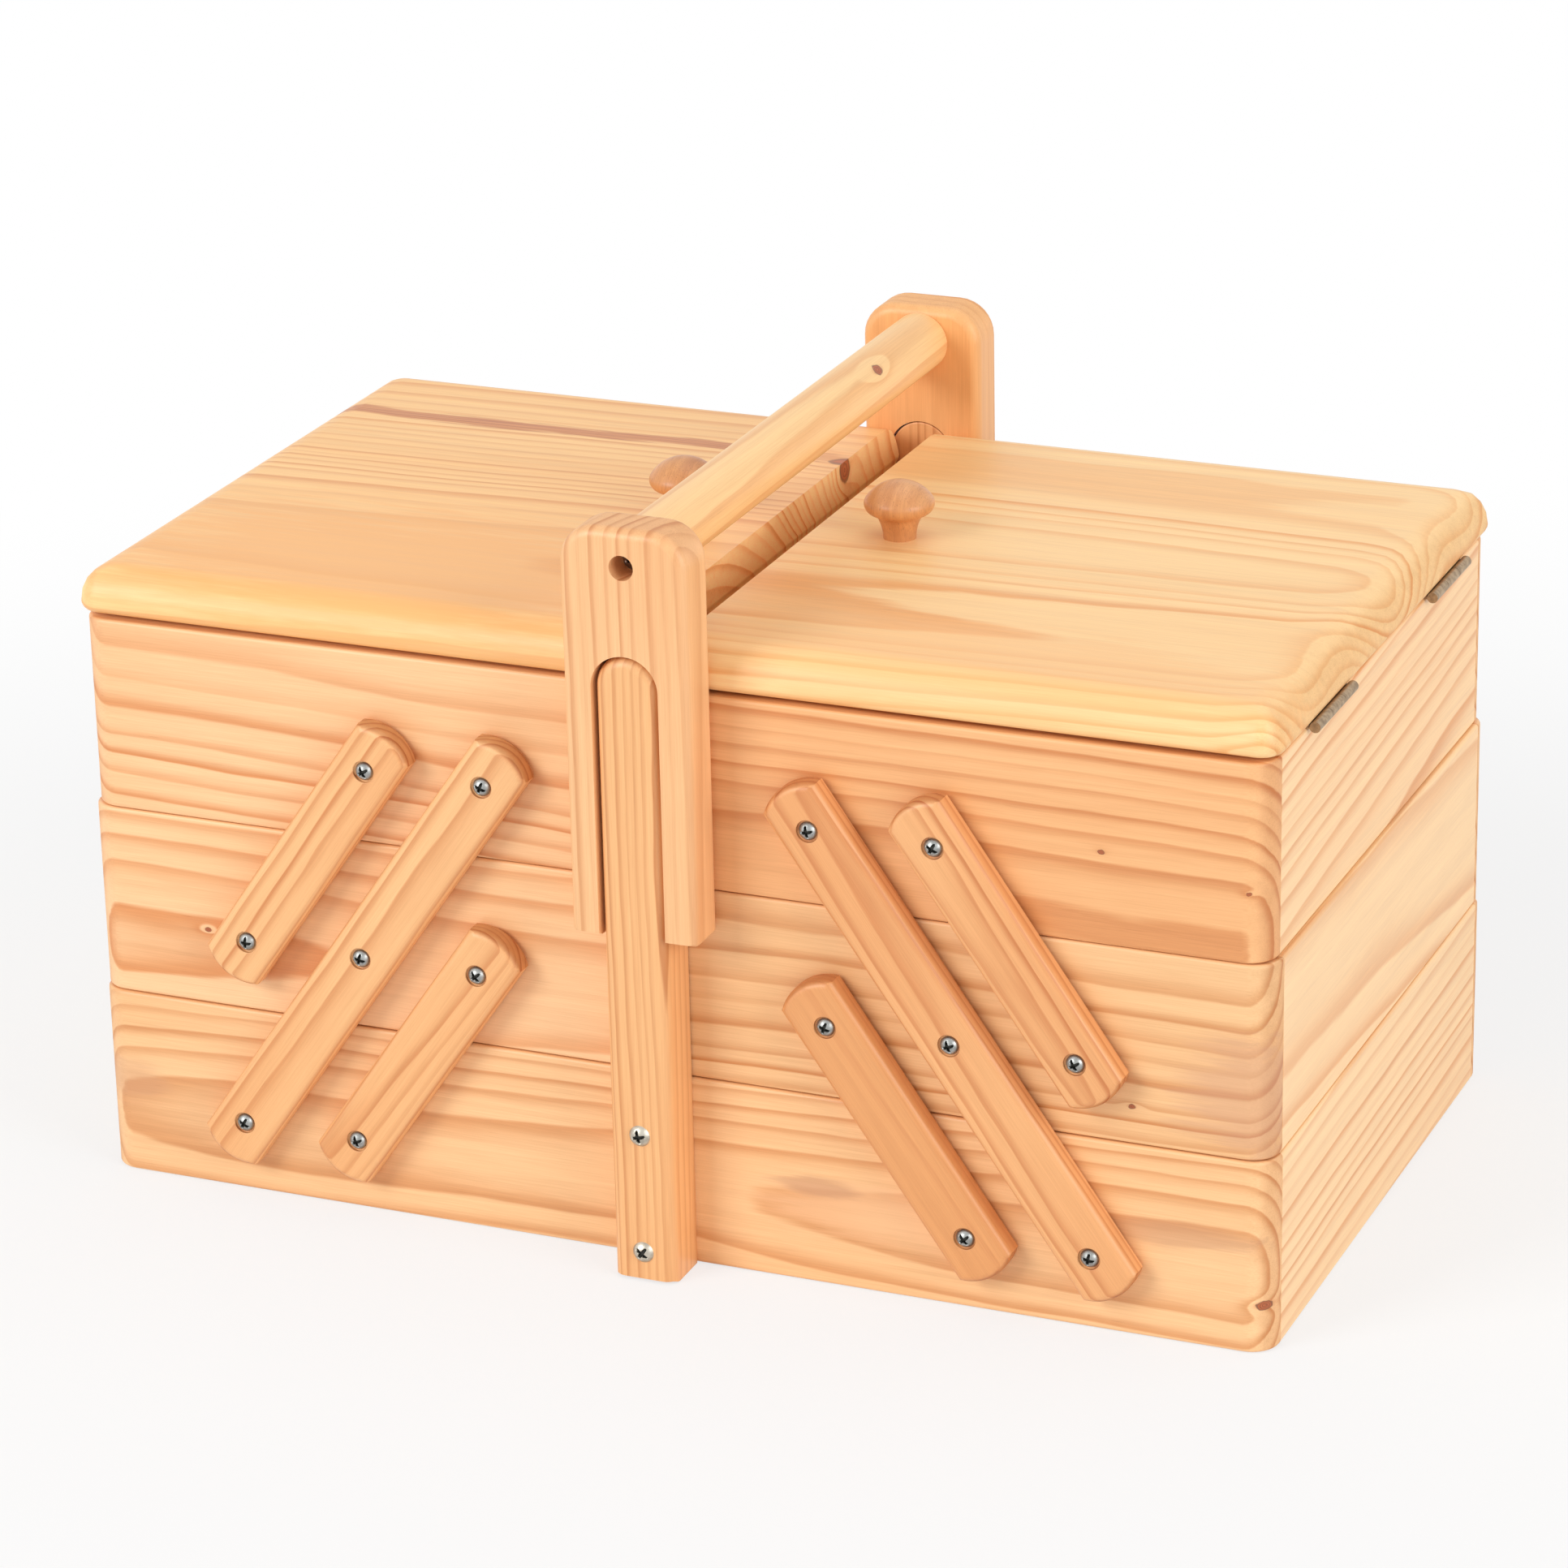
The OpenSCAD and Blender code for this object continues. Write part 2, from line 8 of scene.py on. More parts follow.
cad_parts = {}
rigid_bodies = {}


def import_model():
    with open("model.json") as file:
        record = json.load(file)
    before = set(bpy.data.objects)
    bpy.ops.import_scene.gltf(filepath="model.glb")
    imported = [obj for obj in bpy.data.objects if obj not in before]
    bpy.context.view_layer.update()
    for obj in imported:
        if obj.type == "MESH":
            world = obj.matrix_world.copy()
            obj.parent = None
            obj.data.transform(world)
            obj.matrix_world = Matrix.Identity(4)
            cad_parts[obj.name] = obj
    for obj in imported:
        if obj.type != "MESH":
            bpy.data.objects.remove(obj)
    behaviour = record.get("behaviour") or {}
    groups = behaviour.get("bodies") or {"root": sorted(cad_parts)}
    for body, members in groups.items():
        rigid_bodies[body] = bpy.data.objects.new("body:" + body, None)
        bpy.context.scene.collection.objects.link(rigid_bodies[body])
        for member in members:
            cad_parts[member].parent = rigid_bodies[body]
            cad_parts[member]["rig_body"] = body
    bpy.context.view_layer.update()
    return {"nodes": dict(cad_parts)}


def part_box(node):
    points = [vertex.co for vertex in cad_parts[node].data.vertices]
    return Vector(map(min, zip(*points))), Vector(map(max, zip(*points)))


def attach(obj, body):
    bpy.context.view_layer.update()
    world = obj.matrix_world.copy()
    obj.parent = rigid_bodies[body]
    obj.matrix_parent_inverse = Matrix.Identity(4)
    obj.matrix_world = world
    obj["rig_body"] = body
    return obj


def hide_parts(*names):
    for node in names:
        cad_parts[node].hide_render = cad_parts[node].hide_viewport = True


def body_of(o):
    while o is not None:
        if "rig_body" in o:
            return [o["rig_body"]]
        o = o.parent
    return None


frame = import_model()

MM = 0.001
FACES = ("front", "back")
SIDES = ("left", "right")


def rgb(r, g, b):
    """Linear colour of an sRGB colour that is given from 0 to 255."""
    def lin(v):
        v /= 255.0
        return v / 12.92 if v <= 0.04045 else ((v + 0.055) / 1.055) ** 2.4
    return (lin(r), lin(g), lin(b), 1.0)


def mm_box(node):
    lo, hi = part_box(node)
    return [v * 1000 for v in lo], [v * 1000 for v in hi]


# ---------------------------------------------------------------- node helper
class Net:
    """Builds the nodes of a material or a group in few words."""

    def __init__(self, tree):
        self.tree = tree

    def add(self, kind, values=None, **props):
        node = self.tree.nodes.new(kind)
        for key, value in props.items():
            setattr(node, key, value)
        for key, value in (values or {}).items():
            self.put(node.inputs[key], value)
        return node

    def put(self, socket, value):
        if isinstance(value, bpy.types.NodeSocket):
            self.tree.links.new(value, socket)
        else:
            socket.default_value = value

    def math(self, op, a, b=0.0, c=0.0, clamp=False):
        return self.add("ShaderNodeMath", {0: a, 1: b, 2: c}, operation=op, use_clamp=clamp).outputs[0]

    def vec(self, op, a, b=(0.0, 0.0, 0.0), out=0):
        return self.add("ShaderNodeVectorMath", {0: a, 1: b}, operation=op).outputs[out]

    def step(self, x, low, high, to_low=0.0, to_high=1.0):
        """Smooth step from to_low at low to to_high at high."""
        return self.add("ShaderNodeMapRange", {"Value": x, "From Min": low, "From Max": high,
                                               "To Min": to_low, "To Max": to_high},
                        interpolation_type="SMOOTHSTEP", clamp=True).outputs[0]

    def mix(self, fac, a, b, kind="MIX"):
        node = self.add("ShaderNodeMix", data_type="RGBA", blend_type=kind)
        self.put(node.inputs[0], fac)
        self.put(node.inputs[6], a)
        self.put(node.inputs[7], b)
        return node.outputs[2]

    def noise(self, vector, detail=2.0, rough=0.5, scale=1.0):
        node = self.add("ShaderNodeTexNoise", {"Vector": vector, "Scale": scale, "Detail": detail,
                                               "Roughness": rough})
        return node.outputs["Fac"]

    def scaled(self, vector, x, y, z):
        return self.vec("MULTIPLY", vector, (x, y, z))

    def spread(self, fac, amount):
        """Noise of 0 to 1 as an offset of about +-amount / 2."""
        return self.math("MULTIPLY", self.math("SUBTRACT", fac, 0.5), amount)


# --------------------------------------------------------------------- wood
def wood_group():
    """Growth rings round a pith line, fibres and end grain.

    X of the vector runs along the grain, in mm. Between the radii Crowd From and Crowd To lie Crowd more
    rings, and Bump R moves the rings outwards."""
    group = bpy.data.node_groups.new("wood_rings", "ShaderNodeTree")
    face = group.interface
    def socket(name, kind, default, way="INPUT"):
        s = face.new_socket(name, in_out=way, socket_type=kind)
        if default is not None:
            s.default_value = default
    socket("Vector", "NodeSocketVector", None)
    socket("End", "NodeSocketFloat", 0.0)
    socket("Pith Y", "NodeSocketFloat", 0.0)
    socket("Pith Z", "NodeSocketFloat", -60.0)
    socket("Tilt Y", "NodeSocketFloat", 0.0)
    socket("Tilt Z", "NodeSocketFloat", 0.0)
    socket("Spacing", "NodeSocketFloat", 4.0)
    socket("Wave", "NodeSocketFloat", 8.0)
    socket("Bump R", "NodeSocketFloat", 0.0)
    socket("Contrast", "NodeSocketFloat", 0.6)
    socket("Crowd From", "NodeSocketFloat", 1000.0)
    socket("Crowd To", "NodeSocketFloat", 1001.0)
    socket("Crowd", "NodeSocketFloat", 0.0)
    socket("End Dark", "NodeSocketFloat", 0.10)
    socket("Pale", "NodeSocketColor", rgb(252, 206, 158))
    socket("Late", "NodeSocketColor", rgb(226, 150, 92))
    socket("Warm", "NodeSocketColor", rgb(240, 178, 122))
    socket("Color", "NodeSocketColor", None, "OUTPUT")
    socket("Roughness", "NodeSocketFloat", None, "OUTPUT")
    socket("Height", "NodeSocketFloat", None, "OUTPUT")
    net = Net(group)
    inp = net.add("NodeGroupInput").outputs
    out = net.add("NodeGroupOutput").inputs
    p = inp["Vector"]
    xyz = net.add("ShaderNodeSeparateXYZ", {0: p}).outputs
    slow = net.noise(net.scaled(p, 0.0045, 0.012, 0.012), 2.0, 0.45)
    fine = net.noise(net.scaled(p, 0.016, 0.07, 0.07), 2.0, 0.5)
    hair = net.noise(net.scaled(p, 0.05, 0.5, 0.5), 1.0, 0.5)
    def across(axis, pith, tilt):
        centre = net.math("MULTIPLY_ADD", xyz[0], inp[tilt], inp[pith])
        return net.math("SUBTRACT", xyz[axis], centre)
    y = across(1, "Pith Y", "Tilt Y")
    z = across(2, "Pith Z", "Tilt Z")
    radius = net.math("SQRT", net.math("ADD", net.math("MULTIPLY", y, y), net.math("MULTIPLY", z, z)))
    radius = net.math("ADD", radius, net.math("MULTIPLY", net.math("SUBTRACT", slow, 0.5), inp["Wave"]))
    radius = net.math("ADD", radius, net.spread(fine, 1.6))
    radius = net.math("ADD", radius, net.spread(hair, 0.35))
    radius = net.math("ADD", radius, inp["Bump R"])
    phase = net.math("DIVIDE", radius, inp["Spacing"])
    crowd = net.math("MULTIPLY", net.step(radius, inp["Crowd From"], inp["Crowd To"]), inp["Crowd"])
    phase = net.math("ADD", phase, crowd)
    uneven = net.add("ShaderNodeTexNoise", {"W": phase, "Scale": 0.23, "Detail": 1.0},
                     noise_dimensions="1D").outputs["Fac"]
    phase = net.math("ADD", phase, net.spread(uneven, 2.0))
    part = net.math("FRACT", phase)
    ring = net.math("FLOOR", phase)
    luck = net.add("ShaderNodeTexWhiteNoise", {"W": ring}, noise_dimensions="1D").outputs["Value"]
    rise = net.math("POWER", net.step(part, 0.15, 0.90), 2.6)
    fall = net.step(part, 0.90, 1.0, 1.0, 0.0)
    crest = net.math("MULTIPLY", rise, fall)
    share = net.math("MULTIPLY_ADD", net.math("POWER", luck, 1.1), 0.85, 0.25)
    late = net.math("MULTIPLY", crest, share)
    # streaks and fibres that run with the grain
    streak = net.noise(net.scaled(p, 0.006, 0.33, 0.33), 3.0, 0.6)
    fibre = net.noise(net.scaled(p, 0.05, 3.1, 3.1), 2.0, 0.6)
    patch = net.noise(net.scaled(p, 0.004, 0.02, 0.02), 2.0, 0.5)
    duct = net.noise(net.scaled(p, 0.09, 3.6, 3.6), 1.0, 0.5)
    end = net.step(inp["End"], 0.42, 0.85)
    side = net.math("SUBTRACT", 1.0, end)
    colour = net.mix(net.step(patch, 0.35, 0.75, 0.0, 0.55), inp["Pale"], inp["Warm"])
    strong = net.math("MULTIPLY", late, net.math("MULTIPLY_ADD", end, 0.25, inp["Contrast"]), clamp=True)
    colour = net.mix(strong, colour, inp["Late"])
    tone = net.math("ADD", 1.0, net.spread(streak, 0.20))
    tone = net.math("ADD", tone, net.math("MULTIPLY", net.spread(fibre, 0.22), side))
    tone = net.math("SUBTRACT", tone, net.math("MULTIPLY", end, inp["End Dark"]))
    ducts = net.math("MULTIPLY", net.step(duct, 0.70, 0.78), 0.20)
    tone = net.math("SUBTRACT", tone, net.math("MULTIPLY", ducts, late))
    deep = net.add("ShaderNodeCombineXYZ", {0: tone, 1: net.math("POWER", tone, 1.45),
                                            2: net.math("POWER", tone, 1.9)}).outputs[0]
    colour = net.mix(1.0, colour, deep, "MULTIPLY")
    pores = net.noise(net.scaled(p, 2.6, 2.6, 2.6), 2.0, 0.6)
    speck = net.math("MULTIPLY", net.step(pores, 0.45, 0.75), net.math("MULTIPLY", end, 0.35))
    colour = net.mix(speck, colour, rgb(196, 128, 80))
    net.put(out["Color"], colour)
    rough = net.math("ADD", 0.44, net.spread(streak, 0.14))
    rough = net.math("ADD", rough, net.math("MULTIPLY", end, 0.16))
    net.put(out["Roughness"], net.math("ADD", rough, net.spread(fibre, 0.12)))
    high = net.math("MULTIPLY_ADD", late, 0.5, net.math("MULTIPLY", fibre, 0.8))
    high = net.math("ADD", high, net.math("MULTIPLY", net.math("MULTIPLY", pores, end), 0.8))
    net.put(out["Height"], high)
    return group


WOOD = wood_group()

AXES = {"x": Vector((1, 0, 0)), "y": Vector((0, 1, 0)), "z": Vector((0, 0, 1))}


def grain_frame(axis):
    """Rows that turn the row frame so that the grain's direction comes to X."""
    first = Vector(axis).normalized()
    aside = Vector((0, 1, 0)) if abs(first.y) < 0.9 else Vector((1, 0, 0))
    third = first.cross(aside).normalized()
    return Matrix((first, third.cross(first), third))


def wood(name, axis="x", seed=0.0, pith=(0.0, 0.0, 0.0), tilt=(0.0, 0.0, 0.0), spacing=4.0, wave=8.0,
         contrast=0.8, pale=(252, 206, 158), late=(226, 150, 92), warm=(243, 184, 130), knots=(),
         streaks=(), stains=(), rough=0.0, coat=0.12, crowd=(1000.0, 1001.0, 0.0), end_dark=0.10,
         ripple=None, dip=None):
    """Varnished wood whose rings lie round the line through pith, which shifts by tilt for each mm.

    Places are in mm in the row frame. A knot is (x, y, z, radius, axis of its branch or None for a ball).
    A streak is (place across, half width, start, end, strength), its start and end along the grain. A
    stain is (place, radii, colour, strength). crowd is (from radius, to radius, how many rings more lie
    between them). ripple is (place across, pitch, height) of waves in the rings, and dip is (start, end,
    depth) of a fall of the rings along the grain."""
    mat = bpy.data.materials.new(name)
    mat.use_nodes = True
    mat.node_tree.nodes.clear()
    net = Net(mat.node_tree)
    grain = AXES[axis] if isinstance(axis, str) else Vector(axis).normalized()
    coords = net.add("ShaderNodeTexCoord").outputs
    turn = grain_frame(grain)
    raw = net.add("ShaderNodeMapping", {"Vector": coords["Object"], "Rotation": turn.to_euler(),
                                        "Scale": (1000, 1000, 1000)}, vector_type="POINT").outputs[0]
    away = Vector((seed * 731.3, seed * 97.1, seed * 41.7))
    p = net.vec("ADD", raw, tuple(away))
    end = net.math("ABSOLUTE", net.vec("DOT_PRODUCT", coords["Normal"], tuple(grain), out=1))
    place = net.add("ShaderNodeSeparateXYZ", {0: raw}).outputs
    push = None
    if ripple is not None:
        turns = net.math("MULTIPLY", net.math("SUBTRACT", place[1], ripple[0]), 2 * math.pi / ripple[1])
        push = net.math("MULTIPLY", net.math("COSINE", turns), ripple[2])
    if dip is not None:
        fall = net.step(place[0], dip[0], dip[1], 0.0, dip[2])
        push = fall if push is None else net.math("ADD", push, fall)
    marks = []
    for (kx, ky, kz, kr, branch) in knots:
        d = net.vec("SUBTRACT", raw, tuple(turn @ Vector((kx, ky, kz))))
        flat = Vector((1, 1, 1)) if branch is None else Vector([1.0 - abs(v) for v in turn @ AXES[branch]])
        def reach(along, aside):
            return net.vec("LENGTH", net.scaled(d, flat.x / (along * kr), flat.y / (aside * kr),
                                                flat.z / (aside * kr)), out=1)
        wobble = net.noise(net.scaled(p, 0.6 / kr, 0.6 / kr, 0.6 / kr), 2.0)
        near = reach(2.6, 1.25)
        far = reach(6.5, 3.0)
        bell = net.math("POWER", 2.718, net.math("MULTIPLY", net.math("MULTIPLY", far, far), -2.0))
        bell = net.math("MULTIPLY", bell, 2.6 * kr)
        push = bell if push is None else net.math("ADD", push, bell)
        spot = reach(1.35, 1.0)
        spot = net.math("ADD", spot, net.spread(wobble, 0.9))
        marks.append((spot, near, kr))
    core = net.add("ShaderNodeGroup", node_tree=WOOD)
    centre, lean = turn @ Vector(pith) + away, turn @ Vector(tilt)
    for key, value in {"Vector": p, "End": end, "Pith Y": centre.y - lean.y * centre.x,
                       "Pith Z": centre.z - lean.z * centre.x, "Tilt Y": lean.y, "Tilt Z": lean.z,
                       "Spacing": spacing, "Wave": wave, "Contrast": contrast, "Crowd From": crowd[0],
                       "Crowd To": crowd[1], "Crowd": crowd[2], "End Dark": end_dark, "Pale": rgb(*pale),
                       "Late": rgb(*late), "Warm": rgb(*warm)}.items():
        net.put(core.inputs[key], value)
    if push is not None:
        net.put(core.inputs["Bump R"], push)
    colour = core.outputs["Color"]
    for (spot, near, kr) in marks:
        halo = net.step(near, 0.35, 1.0, 0.55, 0.0)
        colour = net.mix(halo, colour, rgb(214, 134, 82))
        rings = net.math("FRACT", net.math("MULTIPLY", spot, 3.2))
        inside = net.mix(net.step(rings, 0.2, 1.0), rgb(190, 104, 58), rgb(136, 68, 38))
        colour = net.mix(net.step(spot, 0.8, 1.05, 1.0, 0.0), colour, inside)
        rim = net.math("MULTIPLY", net.step(spot, 0.80, 0.95), net.step(spot, 0.98, 1.15, 1.0, 0.0))
        colour = net.mix(net.math("MULTIPLY", rim, 0.7), colour, rgb(96, 52, 34))
    for (across, width, start, stop, strength) in streaks:
        bend = net.spread(net.noise(net.scaled(p, 0.008, 0.0, 0.0), 2.0), width * 2.2)
        off = net.math("ABSOLUTE", net.math("SUBTRACT", net.math("ADD", place[1], bend), across))
        torn = net.noise(net.scaled(p, 0.03, 0.5, 0.5), 3.0, 0.6)
        edge = net.math("ADD", off, net.spread(torn, width * 1.6))
        band = net.step(edge, width * 0.45, width * 0.95, 1.0, 0.0)
        soft = (stop - start) * 0.18
        reach = net.math("MULTIPLY", net.step(place[0], start, start + soft),
                         net.step(place[0], stop - soft, stop, 1.0, 0.0))
        fac = net.math("MULTIPLY", net.math("MULTIPLY", band, reach), strength)
        grainy = net.noise(net.scaled(p, 0.02, 1.3, 1.3), 3.0, 0.6)
        brown = net.mix(net.step(grainy, 0.35, 0.7), rgb(216, 142, 86), rgb(180, 98, 54))
        colour = net.mix(fac, colour, brown)
    for (spot, radii, tint, strength) in stains:
        d = net.vec("SUBTRACT", raw, tuple(turn @ Vector(spot)))
        size = turn @ Vector(radii)
        far = net.vec("LENGTH", net.scaled(d, *(1 / abs(v) for v in size)), out=1)
        far = net.math("ADD", far, net.spread(net.noise(net.scaled(p, 0.03, 0.3, 0.3), 3.0, 0.6), 1.3))
        fac = net.math("MULTIPLY", net.step(far, 0.45, 1.1, 1.0, 0.0), strength)
        colour = net.mix(fac, colour, rgb(*tint))
    bump = net.add("ShaderNodeBump", {"Height": core.outputs["Height"], "Strength": 0.35,
                                      "Distance": 0.00012})
    shader = net.add("ShaderNodeBsdfPrincipled", {
        "Base Color": colour, "Roughness": net.math("ADD", core.outputs["Roughness"], rough),
        "Normal": bump.outputs[0], "Coat Weight": coat, "Coat Roughness": 0.35})
    out = net.add("ShaderNodeOutputMaterial")
    net.tree.links.new(shader.outputs[0], out.inputs["Surface"])
    return mat


def beech(name, seed):
    """Fine-grained turned wood with short rays, its grain upright."""
    mat = bpy.data.materials.new(name)
    mat.use_nodes = True
    mat.node_tree.nodes.clear()
    net = Net(mat.node_tree)
    coords = net.add("ShaderNodeTexCoord").outputs
    p = net.add("ShaderNodeMapping", {"Vector": coords["Object"], "Scale": (1000, 1000, 1000),
                                      "Location": (seed, seed * 1.7, 0)}).outputs[0]
    wide = net.noise(net.scaled(p, 0.35, 0.06, 0.05), 2.0)
    fine = net.noise(net.scaled(p, 3.5, 0.35, 0.35), 2.0, 0.6)
    rays = net.noise(net.scaled(p, 2.4, 2.4, 0.5), 1.0, 0.4)
    colour = net.mix(net.step(wide, 0.3, 0.7), rgb(228, 164, 106), rgb(208, 142, 88))
    colour = net.mix(net.step(fine, 0.4, 0.8, 0.0, 0.45), colour, rgb(182, 118, 72))
    colour = net.mix(net.step(rays, 0.62, 0.74, 0.0, 0.45), colour, rgb(160, 98, 60))
    bump = net.add("ShaderNodeBump", {"Height": fine, "Strength": 0.25, "Distance": 0.00008})
    shader = net.add("ShaderNodeBsdfPrincipled", {
        "Base Color": colour, "Roughness": net.math("ADD", 0.40, net.spread(fine, 0.12)),
        "Normal": bump.outputs[0], "Coat Weight": 0.15, "Coat Roughness": 0.3})
    out = net.add("ShaderNodeOutputMaterial")
    net.tree.links.new(shader.outputs[0], out.inputs["Surface"])
    return mat


def metal(name, light, dark, rough, stain=0.25, metallic=1.0):
    """Plated metal with fine scratches and dull patches."""
    mat = bpy.data.materials.new(name)
    mat.use_nodes = True
    mat.node_tree.nodes.clear()
    net = Net(mat.node_tree)
    coords = net.add("ShaderNodeTexCoord").outputs
    p = net.vec("SCALE", coords["Object"], (0, 0, 0))
    p.node.inputs["Scale"].default_value = 1000.0
    patch = net.noise(net.scaled(p, 0.5, 0.5, 0.5), 3.0, 0.6)
    grit = net.noise(net.scaled(p, 5.0, 5.0, 5.0), 2.0, 0.6)
    scratch = net.noise(net.scaled(p, 9.0, 1.0, 1.5), 2.0, 0.6)
    colour = net.mix(net.step(patch, 0.3, 0.75, 0.0, stain * 2), rgb(*light), rgb(*dark))
    colour = net.mix(net.step(grit, 0.55, 0.8, 0.0, stain), colour, rgb(*dark))
    bump = net.add("ShaderNodeBump", {"Height": net.math("ADD", scratch, grit), "Strength": 0.25,
                                      "Distance": 0.00006})
    shader = net.add("ShaderNodeBsdfPrincipled", {
        "Base Color": colour, "Metallic": metallic,
        "Roughness": net.math("ADD", rough, net.spread(patch, 0.18)), "Normal": bump.outputs[0]})
    out = net.add("ShaderNodeOutputMaterial")
    net.tree.links.new(shader.outputs[0], out.inputs["Surface"])
    return mat


# --------------------------------------------------------------------- mesh
def plan(x0, x1, y0, y1, radii, inset, n=8, soft=0.0):
    """Corner-rounded rectangle, moved in by inset (left, right, low, high).

    soft is the least radius of a rounded corner for each mm that it moves in."""
    left, right, low, high = inset
    x0, x1, y0, y1 = x0 + left, x1 - right, y0 + low, y1 - high
    moves = (max(left, low), max(right, low), max(right, high), max(left, high))
    corners = ((x0, y0, 1, 1, 180), (x1, y0, -1, 1, 270), (x1, y1, -1, -1, 0), (x0, y1, 1, -1, 90))
    points = []
    for (x, y, sx, sy, start), r, move in zip(corners, radii, moves):
        r = max(r - move, 0.05, soft * move if r > 1 else 0.0)
        for i in range(n + 1):
            a = math.radians(start + 90.0 * i / n)
            points.append((x + sx * r + r * math.cos(a), y + sy * r + r * math.sin(a)))
    return points


def rim(low, high, r_low, r_high, steps=5):
    """(height, inset) of the rings of a slab whose rims are rounded."""
    rings = []
    for i in range(steps + 1):
        a = math.pi / 2 * i / steps
        rings.append((low + r_low * (1 - math.cos(a)), r_low * (1 - math.sin(a))))
    for i in range(steps + 1):
        a = math.pi / 2 * (1 - i / steps)
        rings.append((high - r_high * (1 - math.cos(a)), r_high * (1 - math.sin(a))))
    return rings


def mesh_object(name, bm, mat, matrix=None, smooth=38.0, weighted=True, bevel=0.0):
    """Object from a bmesh in mm."""
    bmesh.ops.remove_doubles(bm, verts=bm.verts, dist=0.0005)
    if matrix is not None:
        bmesh.ops.transform(bm, matrix=matrix, verts=bm.verts)
    bmesh.ops.scale(bm, vec=(MM, MM, MM), verts=bm.verts)
    bmesh.ops.recalc_face_normals(bm, faces=bm.faces)
    mesh = bpy.data.meshes.new(name)
    bm.to_mesh(mesh)
    bm.free()
    for poly in mesh.polygons:
        poly.use_smooth = True
    mesh.set_sharp_from_angle(angle=math.radians(smooth))
    obj = bpy.data.objects.new(name, mesh)
    bpy.context.scene.collection.objects.link(obj)
    if mat is not None:
        mesh.materials.append(mat)
    if bevel > 0:
        add = obj.modifiers.new("edges", "BEVEL")
        add.width, add.segments, add.limit_method = bevel * MM, 2, "ANGLE"
        add.angle_limit = math.radians(55)
        add.use_clamp_overlap = True
    if weighted:
        add = obj.modifiers.new("normals", "WEIGHTED_NORMAL")
        add.keep_sharp = True
    return obj


def rings_bmesh(rings):
    """Closed solid through rings of points (x, y, z) of equal count."""
    bm = bmesh.new()
    rows = [[bm.verts.new(p) for p in ring] for ring in rings]
    n = len(rows[0])
    for a, b in zip(rows, rows[1:]):
        for i in range(n):
            j = (i + 1) % n
            bm.faces.new((a[i], a[j], b[j], b[i]))
    bm.faces.new(list(reversed(rows[0])))
    bm.faces.new(rows[-1])
    return bm


def cut_out(obj, cutters):
    """Takes the cutters, closed bmeshes in mm, out of obj and keeps its materials."""
    for bm in cutters:
        tool = mesh_object("cutter", bm, None, weighted=False)
        cut = obj.modifiers.new("cut", "BOOLEAN")
        cut.operation, cut.solver, cut.object = "DIFFERENCE", "EXACT", tool
        obj.modifiers.move(len(obj.modifiers) - 1, 0)
        kept = [m for m in obj.modifiers if m.name != cut.name]
        for m in kept:
            m.show_viewport = False
        bpy.context.view_layer.update()
        made = bpy.data.meshes.new_from_object(obj.evaluated_get(bpy.context.evaluated_depsgraph_get()))
        for m in kept:
            m.show_viewport = True
        obj.modifiers.remove(cut)
        old = obj.data
        obj.data = made
        bpy.data.meshes.remove(old)
        data = tool.data
        bpy.data.objects.remove(tool)
        bpy.data.meshes.remove(data)
    return obj


def cylinder_bm(centre, axis, r, length, segments=40):
    """Closed cylinder that starts at centre and runs along axis."""
    first = Vector(axis).normalized()
    u = first.orthogonal().normalized()
    v = first.cross(u)
    rings = []
    for d in (0.0, length):
        rings.append([tuple(Vector(centre) + first * d + (u * math.cos(t) + v * math.sin(t)) * r)
                      for t in (2 * math.pi * i / segments for i in range(segments))])
    return rings_bmesh(rings)


def stand_in(obj, node):
    """obj takes the place of a CAD node and rides on its body."""
    body = body_of(frame["nodes"][node])[0]
    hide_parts(node)
    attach(obj, body)
    return obj


UP = Matrix.Identity(4)


def mirrored(side, face):
    return Matrix.Diagonal((-1 if side == "left" else 1, -1 if face == "back" else 1, 1, 1))


def slab(name, x0, x1, y0, y1, radii, low, high, r_low, r_high, mat, matrix=UP, sides=None, soft=0.0):
    """Board with rounded upright corners and rounded lower and upper edges, in mm.

    sides turns the inset of a ring into its insets at the left, right, low and high side."""
    sides = sides or (lambda d: (d, d, d, d))
    rings = []
    for height, inset in rim(low, high, r_low, r_high):
        rings.append([(x, y, height) for x, y in plan(x0, x1, y0, y1, radii, sides(inset), soft=soft)])
    return mesh_object(name, rings_bmesh(rings), mat, matrix)


# ------------------------------------------------------------------- boards
# Radii of the rounded upright corners, of the long edges and of the edges at a joint, in mm
CORNER_R = 9.0
EDGE_R = 1.1
JOINT_R = 0.35


def long_board(node, side_round_left, side_round_right, mat):
    """Front or back board: its outer upright corners are rounded."""
    lo, hi = mm_box(node)
    front = lo[1] < 0
    a = CORNER_R if side_round_left else JOINT_R
    b = CORNER_R if side_round_right else JOINT_R
    radii = (a, b, JOINT_R, JOINT_R) if front else (JOINT_R, JOINT_R, b, a)
    def sides(d):
        return (d, d, d, d * 0.5) if front else (d, d, d * 0.5, d)
    obj = slab(node + "_wood", lo[0], hi[0], lo[1], hi[1], radii, lo[2], hi[2], EDGE_R, EDGE_R, mat,
               sides=sides)
    return stand_in(obj, node)


def short_board(node, mat):
    """End board between a front and a back board."""
    lo, hi = mm_box(node)
    def sides(d):
        return (d, d, 0.0, 0.0)
    obj = slab(node + "_wood", lo[0], hi[0], lo[1], hi[1], (JOINT_R,) * 4, lo[2], hi[2], EDGE_R, EDGE_R,
               mat, sides=sides)
    return stand_in(obj, node)


